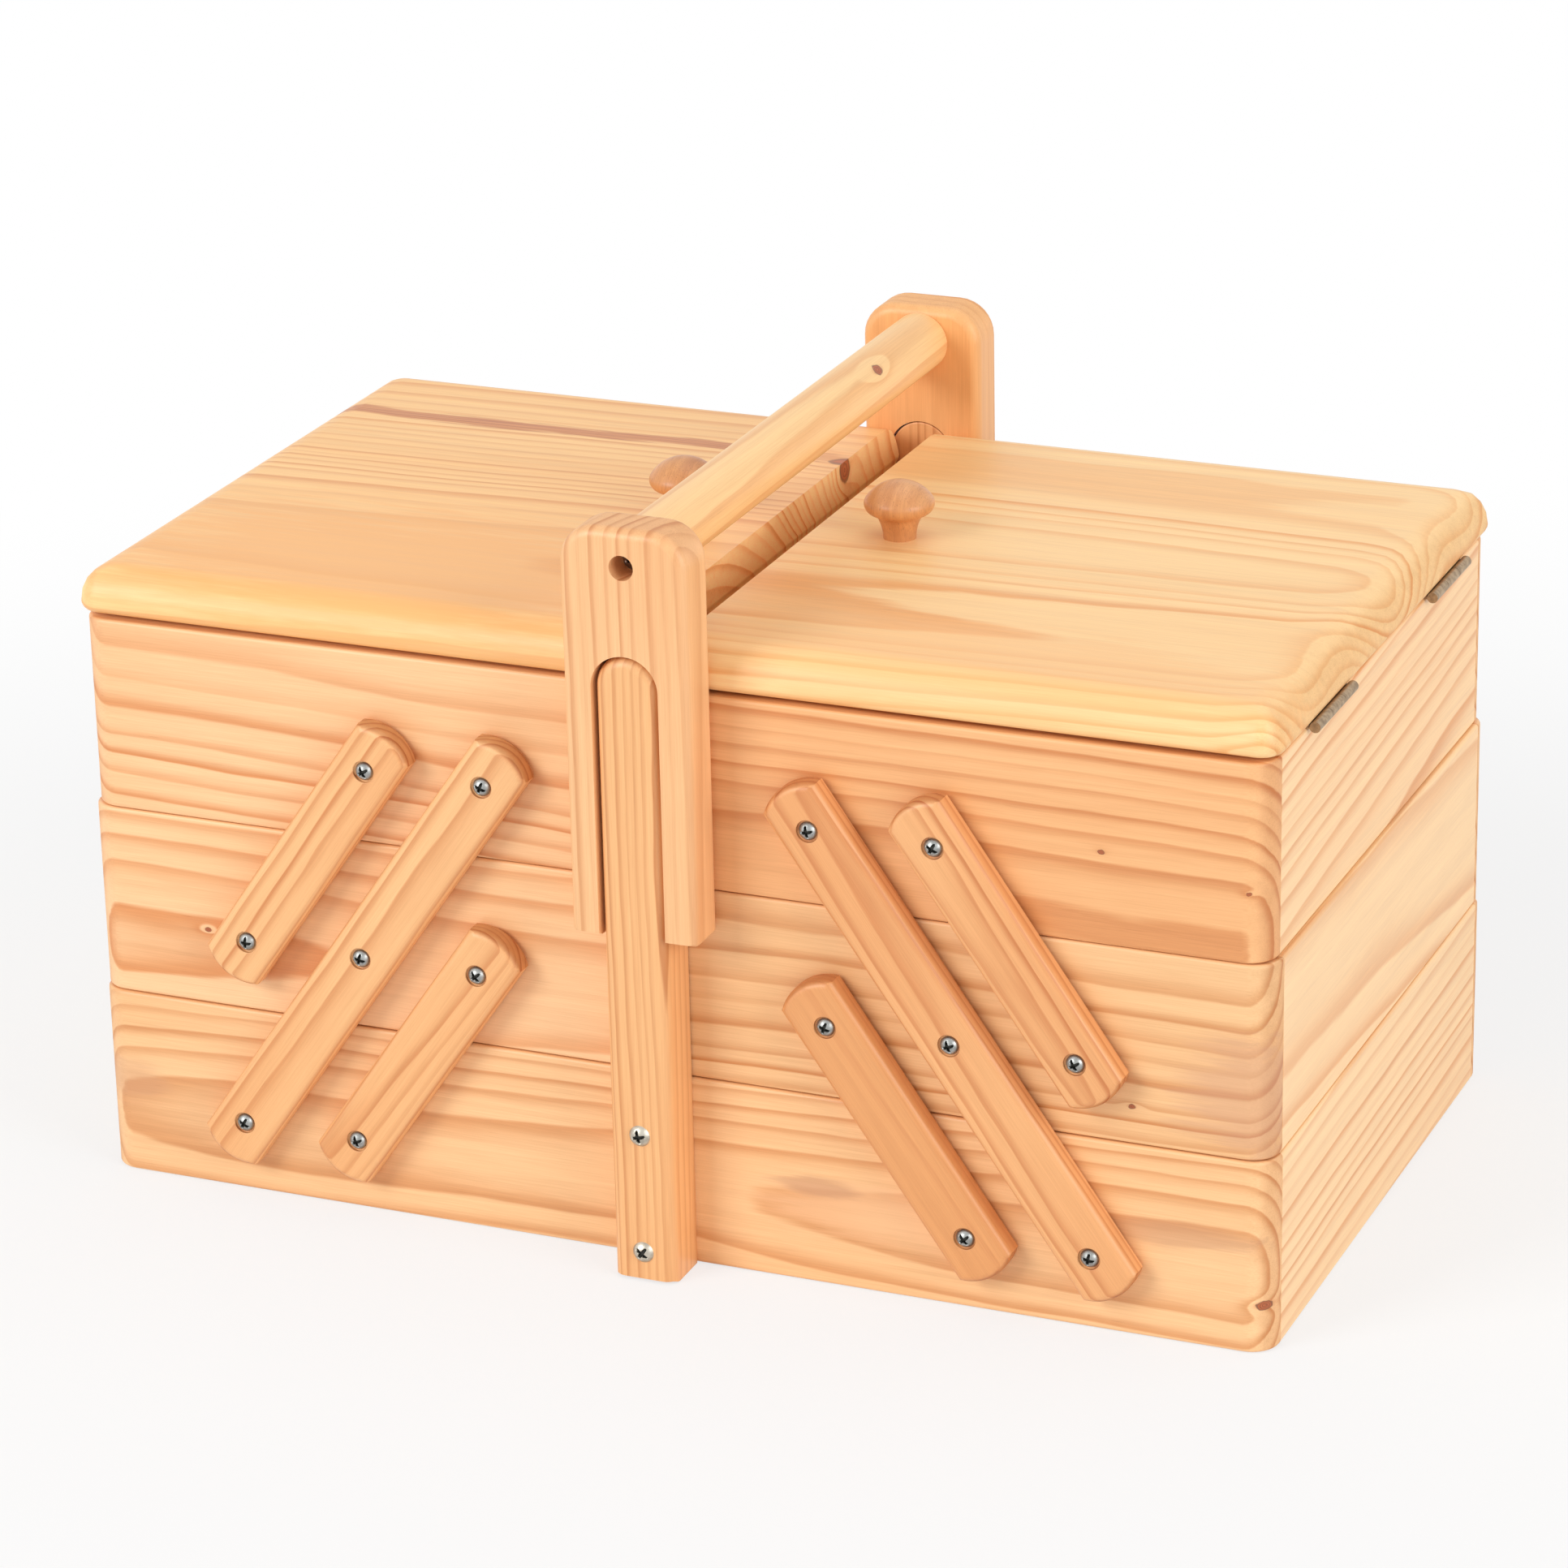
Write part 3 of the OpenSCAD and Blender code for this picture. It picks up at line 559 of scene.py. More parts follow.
FRONT_CONTRAST, END_CONTRAST = 0.9, 0.95
RIGHT_TONE = dict(pale=(252, 204, 150), late=(214, 140, 78), warm=(243, 184, 123))
LEFT_TONE = dict(pale=(253, 211, 160), late=(224, 150, 88), warm=(248, 195, 136))
END_TONE = dict(pale=(254, 213, 160), late=(230, 160, 98), warm=(250, 200, 144))

# (seed, a point on the pith line, its shift for each mm of grain, ring spacing, waviness)
BOARD_LOOKS = {
    "base_front_board": (1.0, (45, -146, 24), (0, 0.02, 0.01), 4.2, 9.0),
    "base_back_board": (2.0, (0, 165, 40), (0, 0.03, 0), 4.2, 10.0),
    "left_middle_tray_front": (3.0, (-120, -150, 84), (0, -0.02, 0.02), 5.6, 8.0),
    "right_middle_tray_front": (4.0, (100, -160, 136), (0, 0.012, 0.02), 5.0, 9.0),
    "left_top_tray_front": (5.0, (-100, -172, 206), (0, 0.006, -0.03), 5.4, 8.0),
    "right_top_tray_front": (6.0, (150, -150, 134), (0, 0.008, -0.02), 4.6, 8.0),
    "left_middle_tray_back": (7.0, (-100, 172, 60), (0, 0.02, 0), 4.4, 9.0),
    "right_middle_tray_back": (8.0, (100, 172, 110), (0, -0.02, 0.02), 4.4, 9.0),
    "left_top_tray_back": (9.0, (-100, 180, 150), (0, 0.02, 0.02), 4.6, 9.0),
    "right_top_tray_back": (10.0, (100, 168, 190), (0, 0.01, 0), 4.4, 9.0),
}
# (x, y, z, radius, axis of the branch), in mm
KNOTS = {
    "base_front_board": ((197.0, -112, 16.0, 1.5, "y"),),
    "left_middle_tray_front": ((-158.4, -114, 89.8, 0.8, "y"),),
    "right_top_tray_front": ((145.4, -114, 157.8, 0.8, "y"), (191.5, -113, 150.5, 0.6, "y")),
    "right_middle_tray_front": ((155.2, -114, 76.4, 0.8, "y"),),
}
# (place, radii, colour, strength), in mm
STAINS = {
    "right_middle_tray_front": (((200, -114, 84), (34, 20, 24), (206, 152, 122), 0.45),),
    "base_front_board": (((72, -114, 27), (46, 20, 12), (254, 200, 150), 0.5),
                         ((168, -114, 36), (34, 14, 5), (196, 140, 104), 0.45),
                         ((52, -114, 33), (16, 14, 5), (190, 134, 100), 0.5),
                         ((-192, -114, 32), (16, 20, 9), (206, 150, 112), 0.4)),
}
# How much red, green and blue a board has of its side's tone
TINTS = {
    "left_top_tray_front": (0.99, 0.945, 0.92), "left_middle_tray_front": (1.0, 0.97, 0.96),
    "right_top_tray_front": (0.965, 0.90, 0.845), "right_middle_tray_front": (0.97, 0.96, 0.95),
    "base_front_board": (0.995, 0.985, 0.98),
}


def tinted(tone, tint):
    """Tone with each colour's red, green and blue multiplied by tint."""
    return {key: tuple(min(255, v * t) for v, t in zip(value, tint)) for key, value in tone.items()}


for node, (seed, pith, tilt, spacing, wave) in BOARD_LOOKS.items():
    tone = tinted(LEFT_TONE if node.startswith("left") else RIGHT_TONE, TINTS.get(node, (1, 1, 1)))
    base = node.startswith("base")
    right = node.startswith("right")
    long_board(node, base or not right, base or right,
               wood(node + "_pine", "x", seed, pith, tilt, spacing, wave, FRONT_CONTRAST,
                    knots=KNOTS.get(node, ()), stains=STAINS.get(node, ()), **tone))

END_LOOKS = {
    "base_left_end": (11.0, (-262, 0, 40), (0, 0, 0.02), 4.4, 8.0),
    "base_right_end": (12.0, (236, 0, -50), (0.02, 0, 0.04), 5.2, 5.0),
    "left_middle_tray_outer_end": (13.0, (-262, 0, 84), (0, 0, 0.02), 4.4, 8.0),
    "left_middle_tray_inner_end": (14.0, (60, 0, 90), (0, 0, 0.02), 4.4, 8.0),
    "right_middle_tray_outer_end": (15.0, (262, 0, 104), (0, 0, -0.05), 6.6, 8.0),
    "right_middle_tray_inner_end": (16.0, (-60, 0, 96), (0, 0, 0.02), 4.4, 8.0),
    "left_top_tray_outer_end": (17.0, (-262, 0, 150), (0, 0, 0.02), 4.4, 8.0),
    "left_top_tray_inner_end": (18.0, (60, 0, 170), (0, 0, 0.02), 4.4, 8.0),
    "right_top_tray_outer_end": (19.0, (230, 0, 120), (-0.02, 0, 0.06), 5.0, 6.0),
    "right_top_tray_inner_end": (20.0, (-60, 0, 150), (0, 0, 0.02), 4.4, 8.0),
}
for node, (seed, pith, tilt, spacing, wave) in END_LOOKS.items():
    short_board(node, wood(node + "_pine", "y", seed, pith, tilt, spacing, wave, END_CONTRAST, **END_TONE))

# --------------------------------------------------------------------- lids
# Radii of the top edge, the lower edge and the upright outer corners, in mm
LID_TOP_R, LID_LOW_R, LID_CORNER_R = 12.0, 3.0, 8.0
# How far the inner end's edge is rounded, and the least corner radius for each mm of rounding
LID_INNER_EDGE, LID_SOFT = 0.7, 0.4
LID_INNER_R = 0.3
LID_LOOKS = {
    "left": dict(seed=21.0, pith=(-100, -62, 130), tilt=(0, 0.02, 0.02), spacing=7.0, wave=8.0,
                 pale=(255, 204, 138), late=(224, 144, 76), warm=(250, 188, 118), contrast=0.75,
                 # end_dark below zero paints the left lid's end faces lighter: painted light that offsets
                 # the shade in the narrow gap between the lids
                 crowd=(88.0, 142.0, 5.0), end_dark=-0.18,
                 stains=(((-105, -78, 206), (125, 62, 26), (250, 180, 106), 0.7),),
                 knots=((-8.4, 66.0, 205.0, 4.2, None),), streaks=((67.0, 5.6, -240.0, 6.0, 0.9),)),
    "right": dict(seed=22.0, pith=(100, 0, 350), tilt=(0, 0.02, 0.02), spacing=6.0, wave=5.0,
                  pale=(255, 213, 152), late=(236, 160, 86), warm=(251, 200, 136), contrast=0.9,
                  stains=(((105, -96, 206), (130, 34, 26), (250, 190, 124), 0.5),),
                  ripple=(-42.0, 95.0, 8.0), dip=(176.0, 206.0, 5.0)),
}
for side in SIDES:
    node = side + "_lid_board"
    lo, hi = mm_box(node)
    inner = abs(lo[0]) if side == "right" else abs(hi[0])
    outer = abs(hi[0]) if side == "right" else abs(lo[0])
    def lid_sides(d):
        return (min(d, LID_INNER_EDGE), d, d, d)
    obj = slab(node + "_wood", inner, outer, lo[1], hi[1],
               (LID_INNER_R, LID_CORNER_R, LID_CORNER_R, LID_INNER_R),
               lo[2], hi[2], LID_LOW_R, LID_TOP_R, wood(node + "_pine", "x", **LID_LOOKS[side]),
               matrix=mirrored(side, "front"), sides=lid_sides, soft=LID_SOFT)
    stand_in(obj, node)

# -------------------------------------------------------------------- links
# Width, thickness, reach past the last screw, and radii of the round ends and of the front edges, in mm
LINK_W, LINK_T, LINK_OVER, LINK_END_R, LINK_EDGE = 21.0, 8.0, 15.0, 16.0, 2.6
LINK_BACK, LINK_BACK_EDGE, LINK_BEVEL = 114.4, 1.2, 0.25
HEAD_RECESS_R, RECESS, CUT_OVER = 3.6, 1.0, 2.0
# Pivots at rest as (x, z) on the right side, those on the long link first
BASE_PIVOTS = ((144.5, 27.5), (104.0, 27.5))
MIDDLE_PIVOTS = ((99.5, 91.5), (59.0, 91.5), (140.0, 91.5))
TOP_PIVOTS = ((54.5, 155.5), (95.0, 155.5))
LINKS = {
    "long_link": (BASE_PIVOTS[0], MIDDLE_PIVOTS[0], TOP_PIVOTS[0]),
    "lower_link": (BASE_PIVOTS[1], MIDDLE_PIVOTS[1]),
    "upper_link": (MIDDLE_PIVOTS[2], TOP_PIVOTS[1]),
}


def link_outline(half, inset, n=14):
    """Straight-sided outline with round ends, moved in by inset; half is half its length."""
    r = LINK_END_R - inset
    w = LINK_W / 2 - inset
    h = half - inset
    a = math.asin(w / r)
    centre = h - r
    points = [(centre + r * math.cos(a * (2 * i / n - 1)), r * math.sin(a * (2 * i / n - 1)))
              for i in range(n + 1)]
    return points + [(-x, -y) for x, y in points]


def make_link(side, face, kind, mat):
    screws = [Vector(s) for s in LINKS[kind]]
    along = (screws[-1] - screws[0])
    half = along.length / 2 + LINK_OVER
    mid = (screws[-1] + screws[0]) / 2
    along.normalize()
    place = Matrix(((along.x, -along.y, 0, mid.x), (0, 0, -1, -LINK_BACK), (along.y, along.x, 0, mid.y),
                    (0, 0, 0, 1)))
    rings = [[(x, y, h) for x, y in link_outline(half, inset)]
             for h, inset in rim(0.0, LINK_T, LINK_BACK_EDGE, LINK_EDGE)]
    node = f"{side}_{face}_{kind}"
    flip = mirrored(side, face)
    obj = mesh_object(node + "_wood", rings_bmesh(rings), mat, flip @ place, bevel=LINK_BEVEL)
    front = LINK_BACK + LINK_T
    cutters = []
    for s in screws:
        centre = flip @ Vector((s.x, -front + RECESS, s.y))
        cutters.append(cylinder_bm(centre, flip @ Vector((0, -1, 0)), HEAD_RECESS_R, RECESS + CUT_OVER))
    cut_out(obj, cutters)
    return stand_in(obj, node)


LINK_TONE = dict(pale=(246, 190, 132), late=(206, 126, 68), warm=(232, 160, 98))
LINK_TINTS = {"left": (1, 1, 1), "right": (0.97, 0.93, 0.9)}
PLAIN_LINK = dict(pale=(228, 160, 101), late=(196, 114, 60), warm=(226, 153, 92))
count = 0
for side in SIDES:
    for face in FACES:
        for kind in LINKS:
            a, b = Vector(LINKS[kind][0]), Vector(LINKS[kind][-1])
            flip = mirrored(side, face)
            axis = flip @ Vector((b.x - a.x, 0, b.y - a.y))
            aside = flip @ Vector((a.y - b.y, 0, b.x - a.x)).normalized()
            mid = flip @ Vector(((a.x + b.x) / 2, -LINK_BACK - LINK_T, (a.y + b.y) / 2))
            out = flip @ Vector((0, -1, 0))
            count += 1
            plain = kind == "lower_link" and side == "right"
            near = 14.0 + 5.0 * (count % 3)
            pith = mid + aside * (9.0 * math.sin(count * 2.4)) + out * near
            tilt = (out * 0.016 * math.cos(count * 1.7) + aside * 0.012 * math.sin(count * 3.1))
            tone = PLAIN_LINK if plain else tinted(LINK_TONE, LINK_TINTS[side])
            make_link(side, face, kind, wood(
                f"{side}_{face}_{kind}_pine", axis, 30.0 + count, pith, tilt, 2.3 + 0.3 * (count % 2), 3.0,
                contrast=0.3 if plain else 0.8, end_dark=0.30, **tone))

# ------------------------------------------------------------------- handle
UPRIGHT_EDGE, UPRIGHT_BACK_EDGE, UPRIGHT_FOOT_EDGE = 4.0, 0.5, 0.8
for face in FACES:
    node = face + "_upright"
    lo, hi = mm_box(node)
    depth = hi[1] - lo[1]
    back_y = hi[1] if face == "front" else -lo[1]
    half = (hi[0] - lo[0]) / 2
    rings = []
    for h, inset in rim(0.0, depth, UPRIGHT_BACK_EDGE, UPRIGHT_EDGE, 6):
        low = min(inset, UPRIGHT_FOOT_EDGE)
        r = half - inset
        ring = [(-r, low), (r, low)]
        ring += [(r * math.cos(math.pi * i / 24), hi[2] - half + r * math.sin(math.pi * i / 24))
                 for i in range(25)]
        rings.append([(x, z, h) for x, z in ring])
    place = Matrix(((1, 0, 0, 0), (0, 0, -1, back_y), (0, 1, 0, 0), (0, 0, 0, 1)))
    obj = mesh_object(node + "_wood", rings_bmesh(rings),
                      wood(node + "_pine", "z", 50.0 + (face == "back"),
                           (70, -168 if face == "front" else 168, 0), (-0.01, 0, 0), 2.7, 2.4,
                           pale=(242, 183, 124), late=(202, 128, 72), warm=(234, 166, 106), contrast=0.9,
                           end_dark=0.16),
                      mirrored("right", face) @ place)
    stand_in(obj, node)

BRACKET_CORNER, BRACKET_EDGE = 12.0, 3.5
BRACKET_FOOT_R, BRACKET_FOOT_EDGE, BRACKET_BEVEL = 1.5, 1.2, 0.5
# The slot's half width at the right and at the left, and the height of its top
SLOT_HALF, SLOT_LEFT, SLOT_TOP = 10.8, 11.35, 208.3
HOLE_R, HOLE_DEPTH, HOLE_Z = 4.0, 10.0, 236.5
BRACKET_LOOKS = {
    "front": dict(seed=60.0, pith=(72, -143, 180), tilt=(-0.02, 0, 0), spacing=4.6, wave=5.0,
                  pale=(246, 193, 139), late=(206, 132, 78), warm=(236, 171, 113), contrast=0.62,
                  end_dark=0.04),
    "back": dict(seed=61.0, pith=(6, 262, 180), tilt=(0, 0.01, 0), spacing=5.2, wave=2.5,
                 pale=(246, 186, 124), late=(224, 150, 88), warm=(240, 176, 112), contrast=0.55,
                 end_dark=0.0),
}
for face in FACES:
    node = face + "_handle_bracket"
    lo, hi = mm_box(node)
    depth = hi[1] - lo[1]
    back_y = hi[1] if face == "front" else -lo[1]
    place = Matrix(((1, 0, 0, 0), (0, 0, -1, back_y), (0, 1, 0, 0), (0, 0, 0, 1)))
    rings = []
    for h, inset in rim(0.0, depth, BRACKET_EDGE, BRACKET_EDGE, 6):
        sides = (inset, inset, min(inset, BRACKET_FOOT_EDGE), inset)
        radii = (BRACKET_FOOT_R, BRACKET_FOOT_R, BRACKET_CORNER, BRACKET_CORNER)
        rings.append([(x, z, h) for x, z in plan(lo[0], hi[0], lo[2], hi[2], radii, sides)])
    flip = mirrored("right", face)
    mat = wood(node + "_pine", "z", **BRACKET_LOOKS[face])
    obj = mesh_object(node + "_wood", rings_bmesh(rings), mat, flip @ place, bevel=BRACKET_BEVEL)
    slot = []
    for y in (-40.0, 40.0):
        ring = [(-SLOT_LEFT, lo[2] - 20.0), (SLOT_HALF, lo[2] - 20.0)]
        for i in range(33):
            x = math.cos(math.pi * i / 32)
            ring.append((x * (SLOT_HALF if x > 0 else SLOT_LEFT),
                         SLOT_TOP - SLOT_HALF + SLOT_HALF * math.sin(math.pi * i / 32)))
        slot.append([(x, (-123.0 + y) if face == "front" else (123.0 + y), z) for x, z in ring])
    inward = 1 if face == "front" else -1
    hole = cylinder_bm((0, -140.0 * inward, HOLE_Z), (0, inward, 0), HOLE_R, 8.0 + HOLE_DEPTH)
    cut_out(obj, [rings_bmesh(slot), hole])
    stand_in(obj, node)

node = "handle_dowel"
lo, hi = mm_box(node)
r = (hi[0] - lo[0]) / 2
rings = []
for h, inset in rim(lo[1], hi[1], 0.4, 0.4, 3):
    rings.append([((r - inset) * math.cos(t), h, (lo[2] + hi[2]) / 2 + (r - inset) * math.sin(t))
                  for t in (2 * math.pi * i / 72 for i in range(72))])
obj = mesh_object(node + "_wood", rings_bmesh(rings),
                  wood("dowel_pine", "y", 70.0, (-16, 0, 205), (0.01, 0, 0.015), 5.0, 3.0,
                       pale=(254, 208, 146), late=(230, 156, 88), warm=(249, 191, 124), contrast=0.6,
                       knots=((7.2, 58.3, 243.7, 1.9, None),)))
stand_in(obj, node)

# -------------------------------------------------------------------- knobs
# Height, radius, radius of the round rim, height of the rim's middle, radii of the stem's foot and top
KNOB_H, KNOB_R, KNOB_RIM_R, KNOB_RIM_Z, KNOB_FOOT, KNOB_NECK = 19.0, 11.3, 3.3, 11.5, 5.3, 7.6
KNOB_RIM_FROM = math.radians(-78.0)
KNOB_SEED = {"left": 12.0, "right": 47.0}
for side in SIDES:
    node = side + "_lid_knob"
    lo, hi = mm_box(node)
    cx, cy = (lo[0] + hi[0]) / 2, (lo[1] + hi[1]) / 2
    rim_x = KNOB_R - KNOB_RIM_R
    under = KNOB_RIM_Z - KNOB_RIM_R
    drop = KNOB_H - KNOB_RIM_Z
    dome = (rim_x ** 2 + drop ** 2 - KNOB_RIM_R ** 2) / (2 * (drop - KNOB_RIM_R))
    dome_z = KNOB_H - dome
    meet = math.atan2(KNOB_RIM_Z - dome_z, rim_x)
    profile = [(KNOB_FOOT, 0.0)]
    for i in range(1, 9):
        t = i / 9
        profile.append((KNOB_FOOT + (KNOB_NECK - KNOB_FOOT) * (t ** 2), (under - 0.3) * t))
    for i in range(17):
        a = KNOB_RIM_FROM + (meet - KNOB_RIM_FROM) * i / 16
        profile.append((rim_x + KNOB_RIM_R * math.cos(a), KNOB_RIM_Z + KNOB_RIM_R * math.sin(a)))
    for i in range(1, 14):
        a = meet + (math.pi / 2 - meet) * i / 14
        profile.append((dome * math.cos(a), dome_z + dome * math.sin(a)))
    rings = [[(cx + pr * math.cos(t), cy + pr * math.sin(t), lo[2] + pz)
              for t in (2 * math.pi * i / 64 for i in range(64))] for pr, pz in profile]
    obj = mesh_object(node + "_wood", rings_bmesh(rings), beech(node + "_beech", KNOB_SEED[side]))
    stand_in(obj, node)

# ------------------------------------------------------------------- screws
ZINC = metal("screw_zinc_plate", (176, 178, 176), (96, 98, 94), 0.40)
NICKEL = metal("upright_screw_plate", (206, 200, 186), (132, 124, 110), 0.40)
BRASS = metal("hinge_antique_brass", (184, 158, 126), (122, 100, 76), 0.42, stain=0.35, metallic=0.75)
# Near-black metal for the faces inside the screws' cross recesses: painted shade where the recess lies in
# shadow
CROSS_SHADE = metal("screw_cross_painted_shade", (74, 74, 70), (40, 40, 38), 0.55)


def add_screw(bm, seat, way, shank_r, head_r, head_h, length, flat, spin):
    """Cross-head screw in mm: its head stands out from seat along way, its shank goes the other way.

    The head is a dome, or a flat head that narrows down to its seat."""
    way = Vector(way).normalized()
    u = way.orthogonal().normalized()
    v = way.cross(u)
    dome_r = (head_r ** 2 + head_h ** 2) / (2 * head_h)
    arm, deep = head_r * 0.68, head_h * (0.9 if flat else 0.62)
    half = head_r * 0.16
    rows, dark = [], []
    steps, turns = 26, 72
    for i in range(steps + 1):
        r = head_r * (i / steps)
        row = []
        for k in range(turns):
            a = 2 * math.pi * k / turns
            x, y = r * math.cos(a + spin), r * math.sin(a + spin)
            cross = 0.0
            for s, w in ((abs(x), abs(y)), (abs(y), abs(x))):
                wide = half * (1.25 - 0.5 * s / arm)
                inside = min(max((arm - s) / (arm * 0.35), 0), 1)
                cross = max(cross, inside * min(max((wide - w) / 0.16, 0), 1))
            top = head_h if flat else head_h - dome_r + math.sqrt(dome_r ** 2 - r * r)
            height = top - deep * cross
            row.append((Vector(seat) + u * (r * math.cos(a)) + v * (r * math.sin(a)) + way * height, cross))
        rows.append(row)
    centre = bm.verts.new(rows[0][0][0])
    lines = [[bm.verts.new(q[0]) for q in row] for row in rows[1:]]
    for r, h in ((shank_r, 0.0), (shank_r, -length)):
        ring = []
        for k in range(turns):
            a = 2 * math.pi * k / turns
            x, y = r * math.cos(a), r * math.sin(a)
            ring.append(bm.verts.new(Vector(seat) + u * x + v * y + way * h))
        lines.append(ring)
    for k in range(turns):
        j = (k + 1) % turns
        # The centre and the faces inside the cross take the second material, the painted shade of the
        # recess
        bm.faces.new((centre, lines[0][k], lines[0][j])).material_index = 1
        for i in range(len(lines) - 1):
            face = bm.faces.new((lines[i][k], lines[i + 1][k], lines[i + 1][j], lines[i][j]))
            if i + 2 < len(rows) and rows[i + 1][k][1] + rows[i + 2][j][1] > 0.9:
                face.material_index = 1
    bm.faces.new(lines[-1])


def make_screws(node, mat, screws):
    """Stands for a node of screws; each holds what add_screw takes, but for its spin."""
    bm = bmesh.new()
    for number, screw in enumerate(screws):
        add_screw(bm, *screw, 0.7 * number + len(node))
    obj = mesh_object(node + "_heads", bm, mat, weighted=False, smooth=50.0)
    obj.data.materials.append(CROSS_SHADE)
    stand_in(obj, node)


# (radius of the shank, radius and height of the head, length of the shank, whether the head is flat)
LINK_SCREW = (1.5, 3.0, 2.1, 15.4, False)
UPRIGHT_SCREW = (1.75, 3.5, 1.9, 26.4, False)
HANDLE_SCREW = (2.0, 3.85, 2.1, 37.9, False)
LEAF_SCREW = (1.0, 1.58, 0.58, 7.0, True)
# How far the seats of the heads lie from the middle of the box, and the heights of the upright's screws
SEAT, UPRIGHT_SEAT, HANDLE_SEAT = LINK_BACK + LINK_T - RECESS + 0.1, 132.0, 122.0
UPRIGHT_SCREW_Z = (10.0, 50.0)


def link_screws(spots, sides=SIDES):
    """Screws at these (x, z) places of the sides, on the front and the back."""
    made = []
    for side in sides:
        for face in FACES:
            for x, z in spots:
                f = -1 if face == "front" else 1
                s = -1 if side == "left" else 1
                made.append(((s * x, f * SEAT, z), (0, f, 0), *LINK_SCREW))
    return made


make_screws("base_pivot_screws", ZINC, link_screws(BASE_PIVOTS))
make_screws("upright_screws", NICKEL,
            [((0, f * UPRIGHT_SEAT, z), (0, f, 0), *UPRIGHT_SCREW)
             for f in (-1, 1) for z in UPRIGHT_SCREW_Z])
make_screws("handle_screws", ZINC,
            [((0, f * HANDLE_SEAT, HOLE_Z), (0, f, 0), *HANDLE_SCREW) for f in (-1, 1)])
HINGE_Y, HINGE_PITCH, LEAF_SCREW_X, TRAY_TOP = 61.0, 24.0, 193.575, 191.7
for side in SIDES:
    s = -1 if side == "left" else 1
    make_screws(side + "_middle_tray_screws", ZINC,
                link_screws(MIDDLE_PIVOTS, (side,)))
    leaf = [((s * LEAF_SCREW_X, h * HINGE_Y + e * HINGE_PITCH / 2, TRAY_TOP), (0, 0, 1), *LEAF_SCREW)
            for h in (-1, 1) for e in (-1, 1)]
    make_screws(side + "_top_tray_screws", ZINC, link_screws(TOP_PIVOTS, (side,)) + leaf)

# --------------------------------------------------------- pieces kept as made
PLY = wood("bottom_plywood", "x", 80.0, (0, 0, -300), (0, 0, 0), 9.0, 60.0, contrast=0.3,
           pale=(246, 218, 178), late=(222, 184, 136), warm=(240, 206, 162), rough=0.15, coat=0.0)
KEPT = {"base_bottom_panel": (PLY, "plywood")}
for side in SIDES:
    KEPT.update({
        side + "_middle_tray_bottom_panel": (PLY, "plywood"),
        side + "_top_tray_bottom_panel": (PLY, "plywood"),
        side + "_lid_screws": (ZINC, "screw_zinc"), side + "_top_tray_hinge_leaves": (BRASS, "hinge_brass"),
        side + "_lid_hinge_leaves": (BRASS, "hinge_brass"),
    })
for node, (mat, slot_name) in KEPT.items():
    obj = frame["nodes"][node]
    obj.data.materials.clear()
    obj.data.materials.append(mat)
    for poly in obj.data.polygons:
        poly.material_index = 0
        poly.use_smooth = True
    obj.data.set_sharp_from_angle(angle=math.radians(30))

# ----------------------------------------------------------- floor and light
FLOOR_GREY, FLOOR_SIZE, FLOOR_DROP = (0.84, 0.84, 0.84, 1), 6000.0, -0.2
# Distances in m between which the floor turns from partly white to plain white, and its share of white
CLEAR_FROM, CLEAR_TO, NEAR_WHITE = 0.3, 0.75, 0.70
WORLD_LEVEL = 0.50
# (name, place in m, size in m, power in W)
LAMPS = (
    ("key", (-1.7, -2.5, 1.7), 1.6, 55.0),
    ("fill", (2.8, -1.0, 1.2), 1.8, 40.0),
    ("top", (0.2, 0.6, 2.8), 2.0, 13.0),
)
LAMP_AIM = Vector((0, 0, 0.1))


def studio_floor_material(name, colour):
    """Pale floor that takes a shadow near the object and is plain white further out."""
    mat = bpy.data.materials.new(name)
    mat.use_nodes = True
    mat.node_tree.nodes.clear()
    net = Net(mat.node_tree)
    floor_shader = net.add("ShaderNodeBsdfPrincipled", {"Base Color": colour, "Roughness": 0.9,
                                                        "Specular IOR Level": 0.0})
    white = net.add("ShaderNodeEmission", {"Color": (1, 1, 1, 1), "Strength": 1.0})
    path = net.add("ShaderNodeLightPath").outputs
    seen = net.math("MAXIMUM", path["Is Camera Ray"],
                    net.math("MAXIMUM", path["Is Glossy Ray"], path["Is Transmission Ray"]))
    place = net.add("ShaderNodeTexCoord").outputs["Object"]
    far = net.step(net.vec("LENGTH", place, out=1), CLEAR_FROM, CLEAR_TO, NEAR_WHITE, 1.0)
    mixer = net.add("ShaderNodeMixShader", {0: net.math("MULTIPLY", seen, far)})
    net.tree.links.new(floor_shader.outputs[0], mixer.inputs[1])
    net.tree.links.new(white.outputs[0], mixer.inputs[2])
    out = net.add("ShaderNodeOutputMaterial")
    net.tree.links.new(mixer.outputs[0], out.inputs["Surface"])
    return mat


bm = bmesh.new()
bmesh.ops.create_grid(bm, x_segments=1, y_segments=1, size=FLOOR_SIZE)
bmesh.ops.translate(bm, verts=bm.verts, vec=(0, 0, FLOOR_DROP))
floor = mesh_object("studio_floor", bm, studio_floor_material("studio_white", FLOOR_GREY), weighted=False)

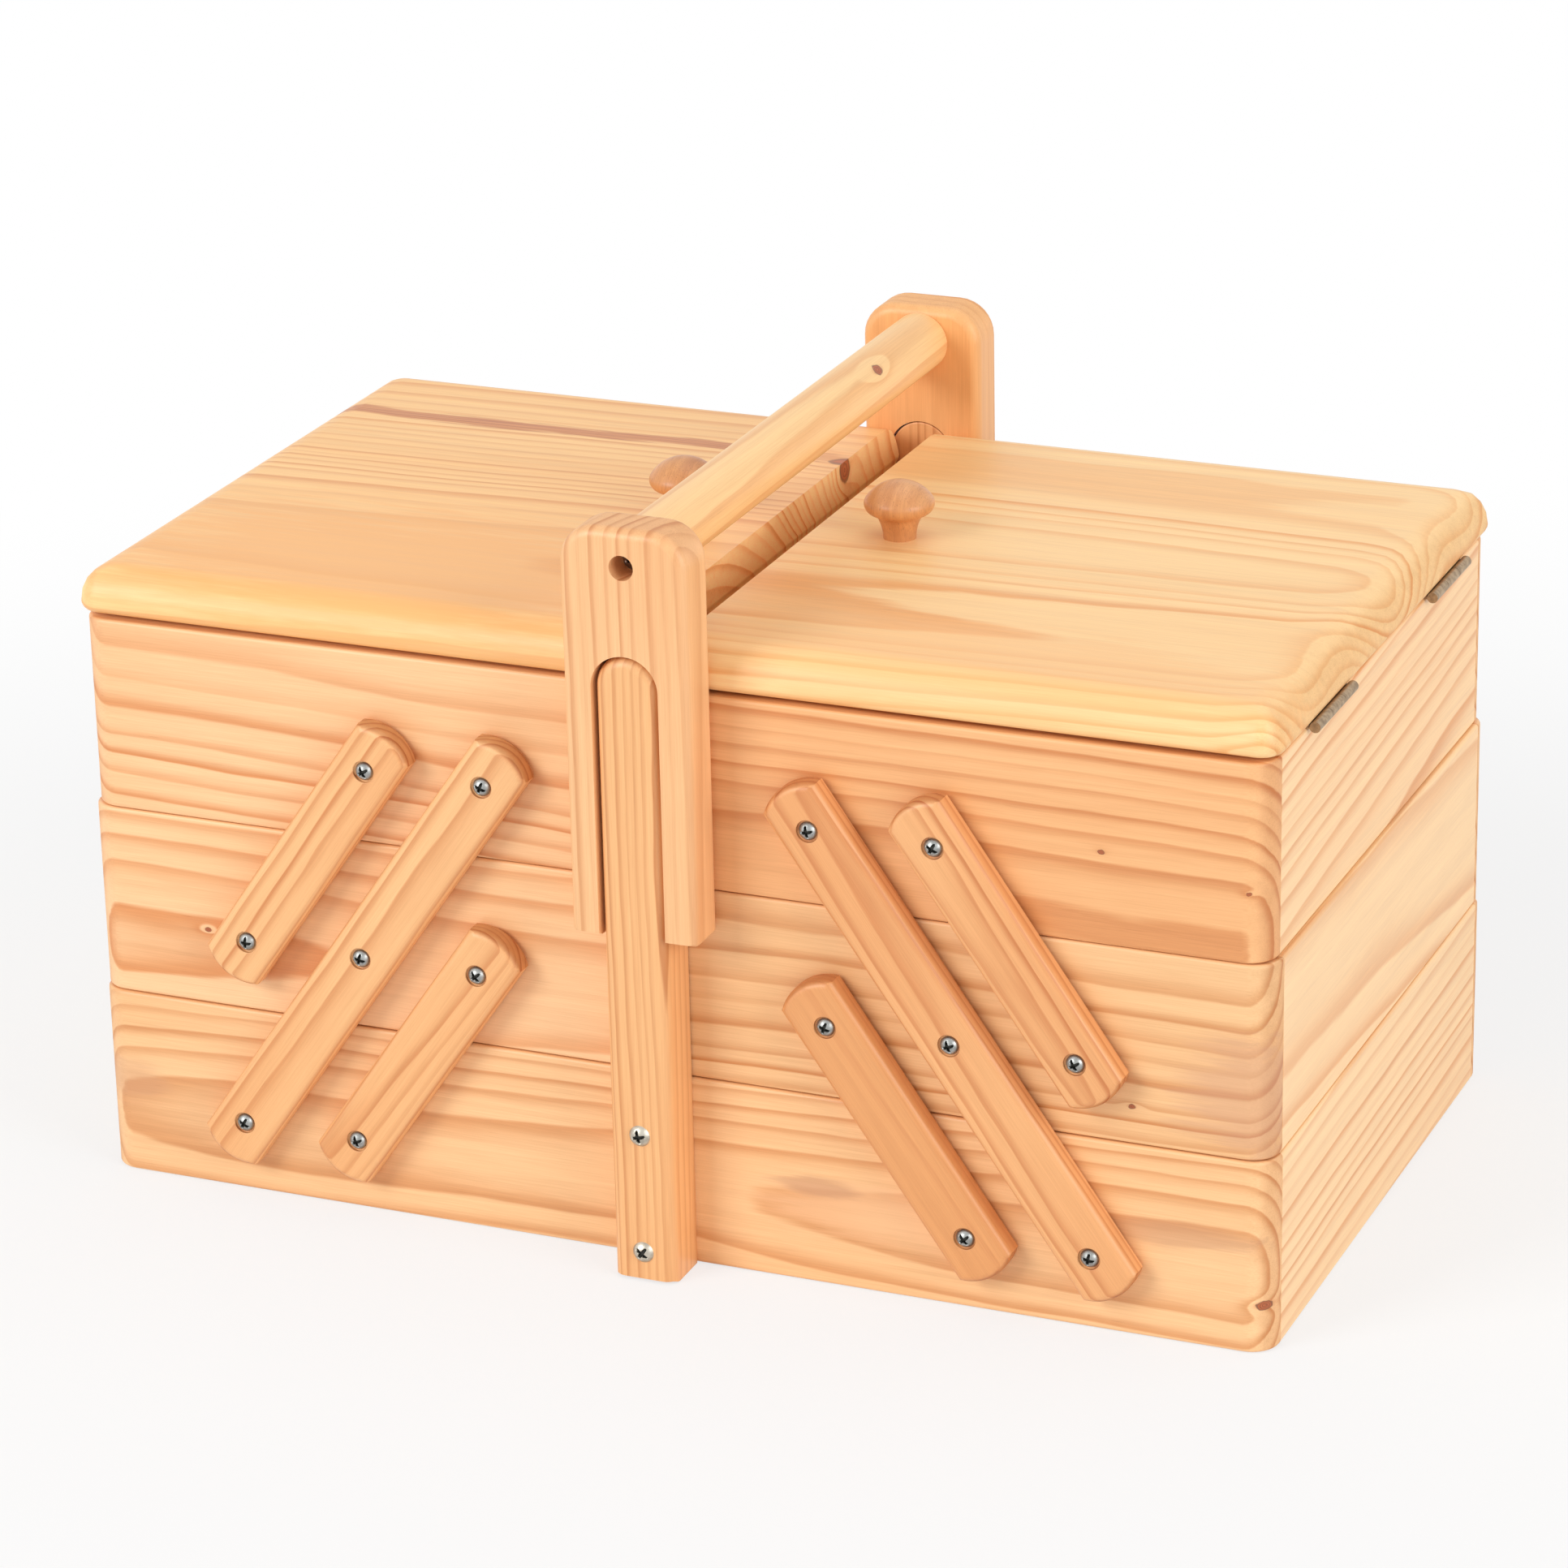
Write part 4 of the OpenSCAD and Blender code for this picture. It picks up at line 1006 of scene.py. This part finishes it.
scene = bpy.context.scene
world = bpy.data.worlds.new("studio")
scene.world = world
world.use_nodes = True
world.node_tree.nodes.clear()
net = Net(world.node_tree)
path = net.add("ShaderNodeLightPath").outputs
seen = net.math("MAXIMUM", path["Is Camera Ray"],
                net.math("MAXIMUM", path["Is Glossy Ray"], path["Is Transmission Ray"]))
level = net.add("ShaderNodeMapRange", {"Value": seen, "To Min": WORLD_LEVEL, "To Max": 1.0}).outputs[0]
back = net.add("ShaderNodeBackground", {"Color": (1, 1, 1, 1), "Strength": level})
out = net.add("ShaderNodeOutputWorld")
net.tree.links.new(back.outputs[0], out.inputs["Surface"])

for name, place, size, power in LAMPS:
    lamp = bpy.data.lights.new(name, "AREA")
    lamp.shape, lamp.size, lamp.energy = "SQUARE", size, power
    obj = bpy.data.objects.new(name, lamp)
    scene.collection.objects.link(obj)
    obj.location = place
    obj.rotation_euler = (LAMP_AIM - Vector(place)).to_track_quat("-Z", "Y").to_euler()

# ------------------------------------------------------------------- camera
# Width of the image in px, the view in degrees, its aim and distance in mm, and its focal length in px
IMAGE = 1932.0
AZ, EL, ROLL = 23.047, 21.305, -1.297
SHIFT_RIGHT, SHIFT_UP = -4.525, 8.207
AIM_Z, DISTANCE, FOCAL = 110.0, 1840.015, 6936.426
SENSOR = 36.0
a, e, r = (math.radians(v) for v in (AZ, EL, ROLL))
back = Vector((math.sin(a) * math.cos(e), -math.cos(a) * math.cos(e), math.sin(e)))
right = Vector((math.cos(a), math.sin(a), 0))
up = back.cross(right)
right_r = right * math.cos(r) + up * math.sin(r)
up_r = up * math.cos(r) - right * math.sin(r)
aim = Vector((0, 0, AIM_Z)) + right_r * SHIFT_RIGHT + up_r * SHIFT_UP
lens = bpy.data.cameras.new("camera")
lens.sensor_width, lens.sensor_fit = SENSOR, "HORIZONTAL"
lens.lens = FOCAL * SENSOR / IMAGE
lens.clip_start, lens.clip_end = 0.1, 30.0
camera = bpy.data.objects.new("camera", lens)
scene.collection.objects.link(camera)
turn = Matrix((right_r, up_r, back)).transposed()
camera.matrix_world = Matrix.Translation((aim + back * DISTANCE) * MM) @ turn.to_4x4()
scene.camera = camera
scene.view_settings.view_transform = "Standard"
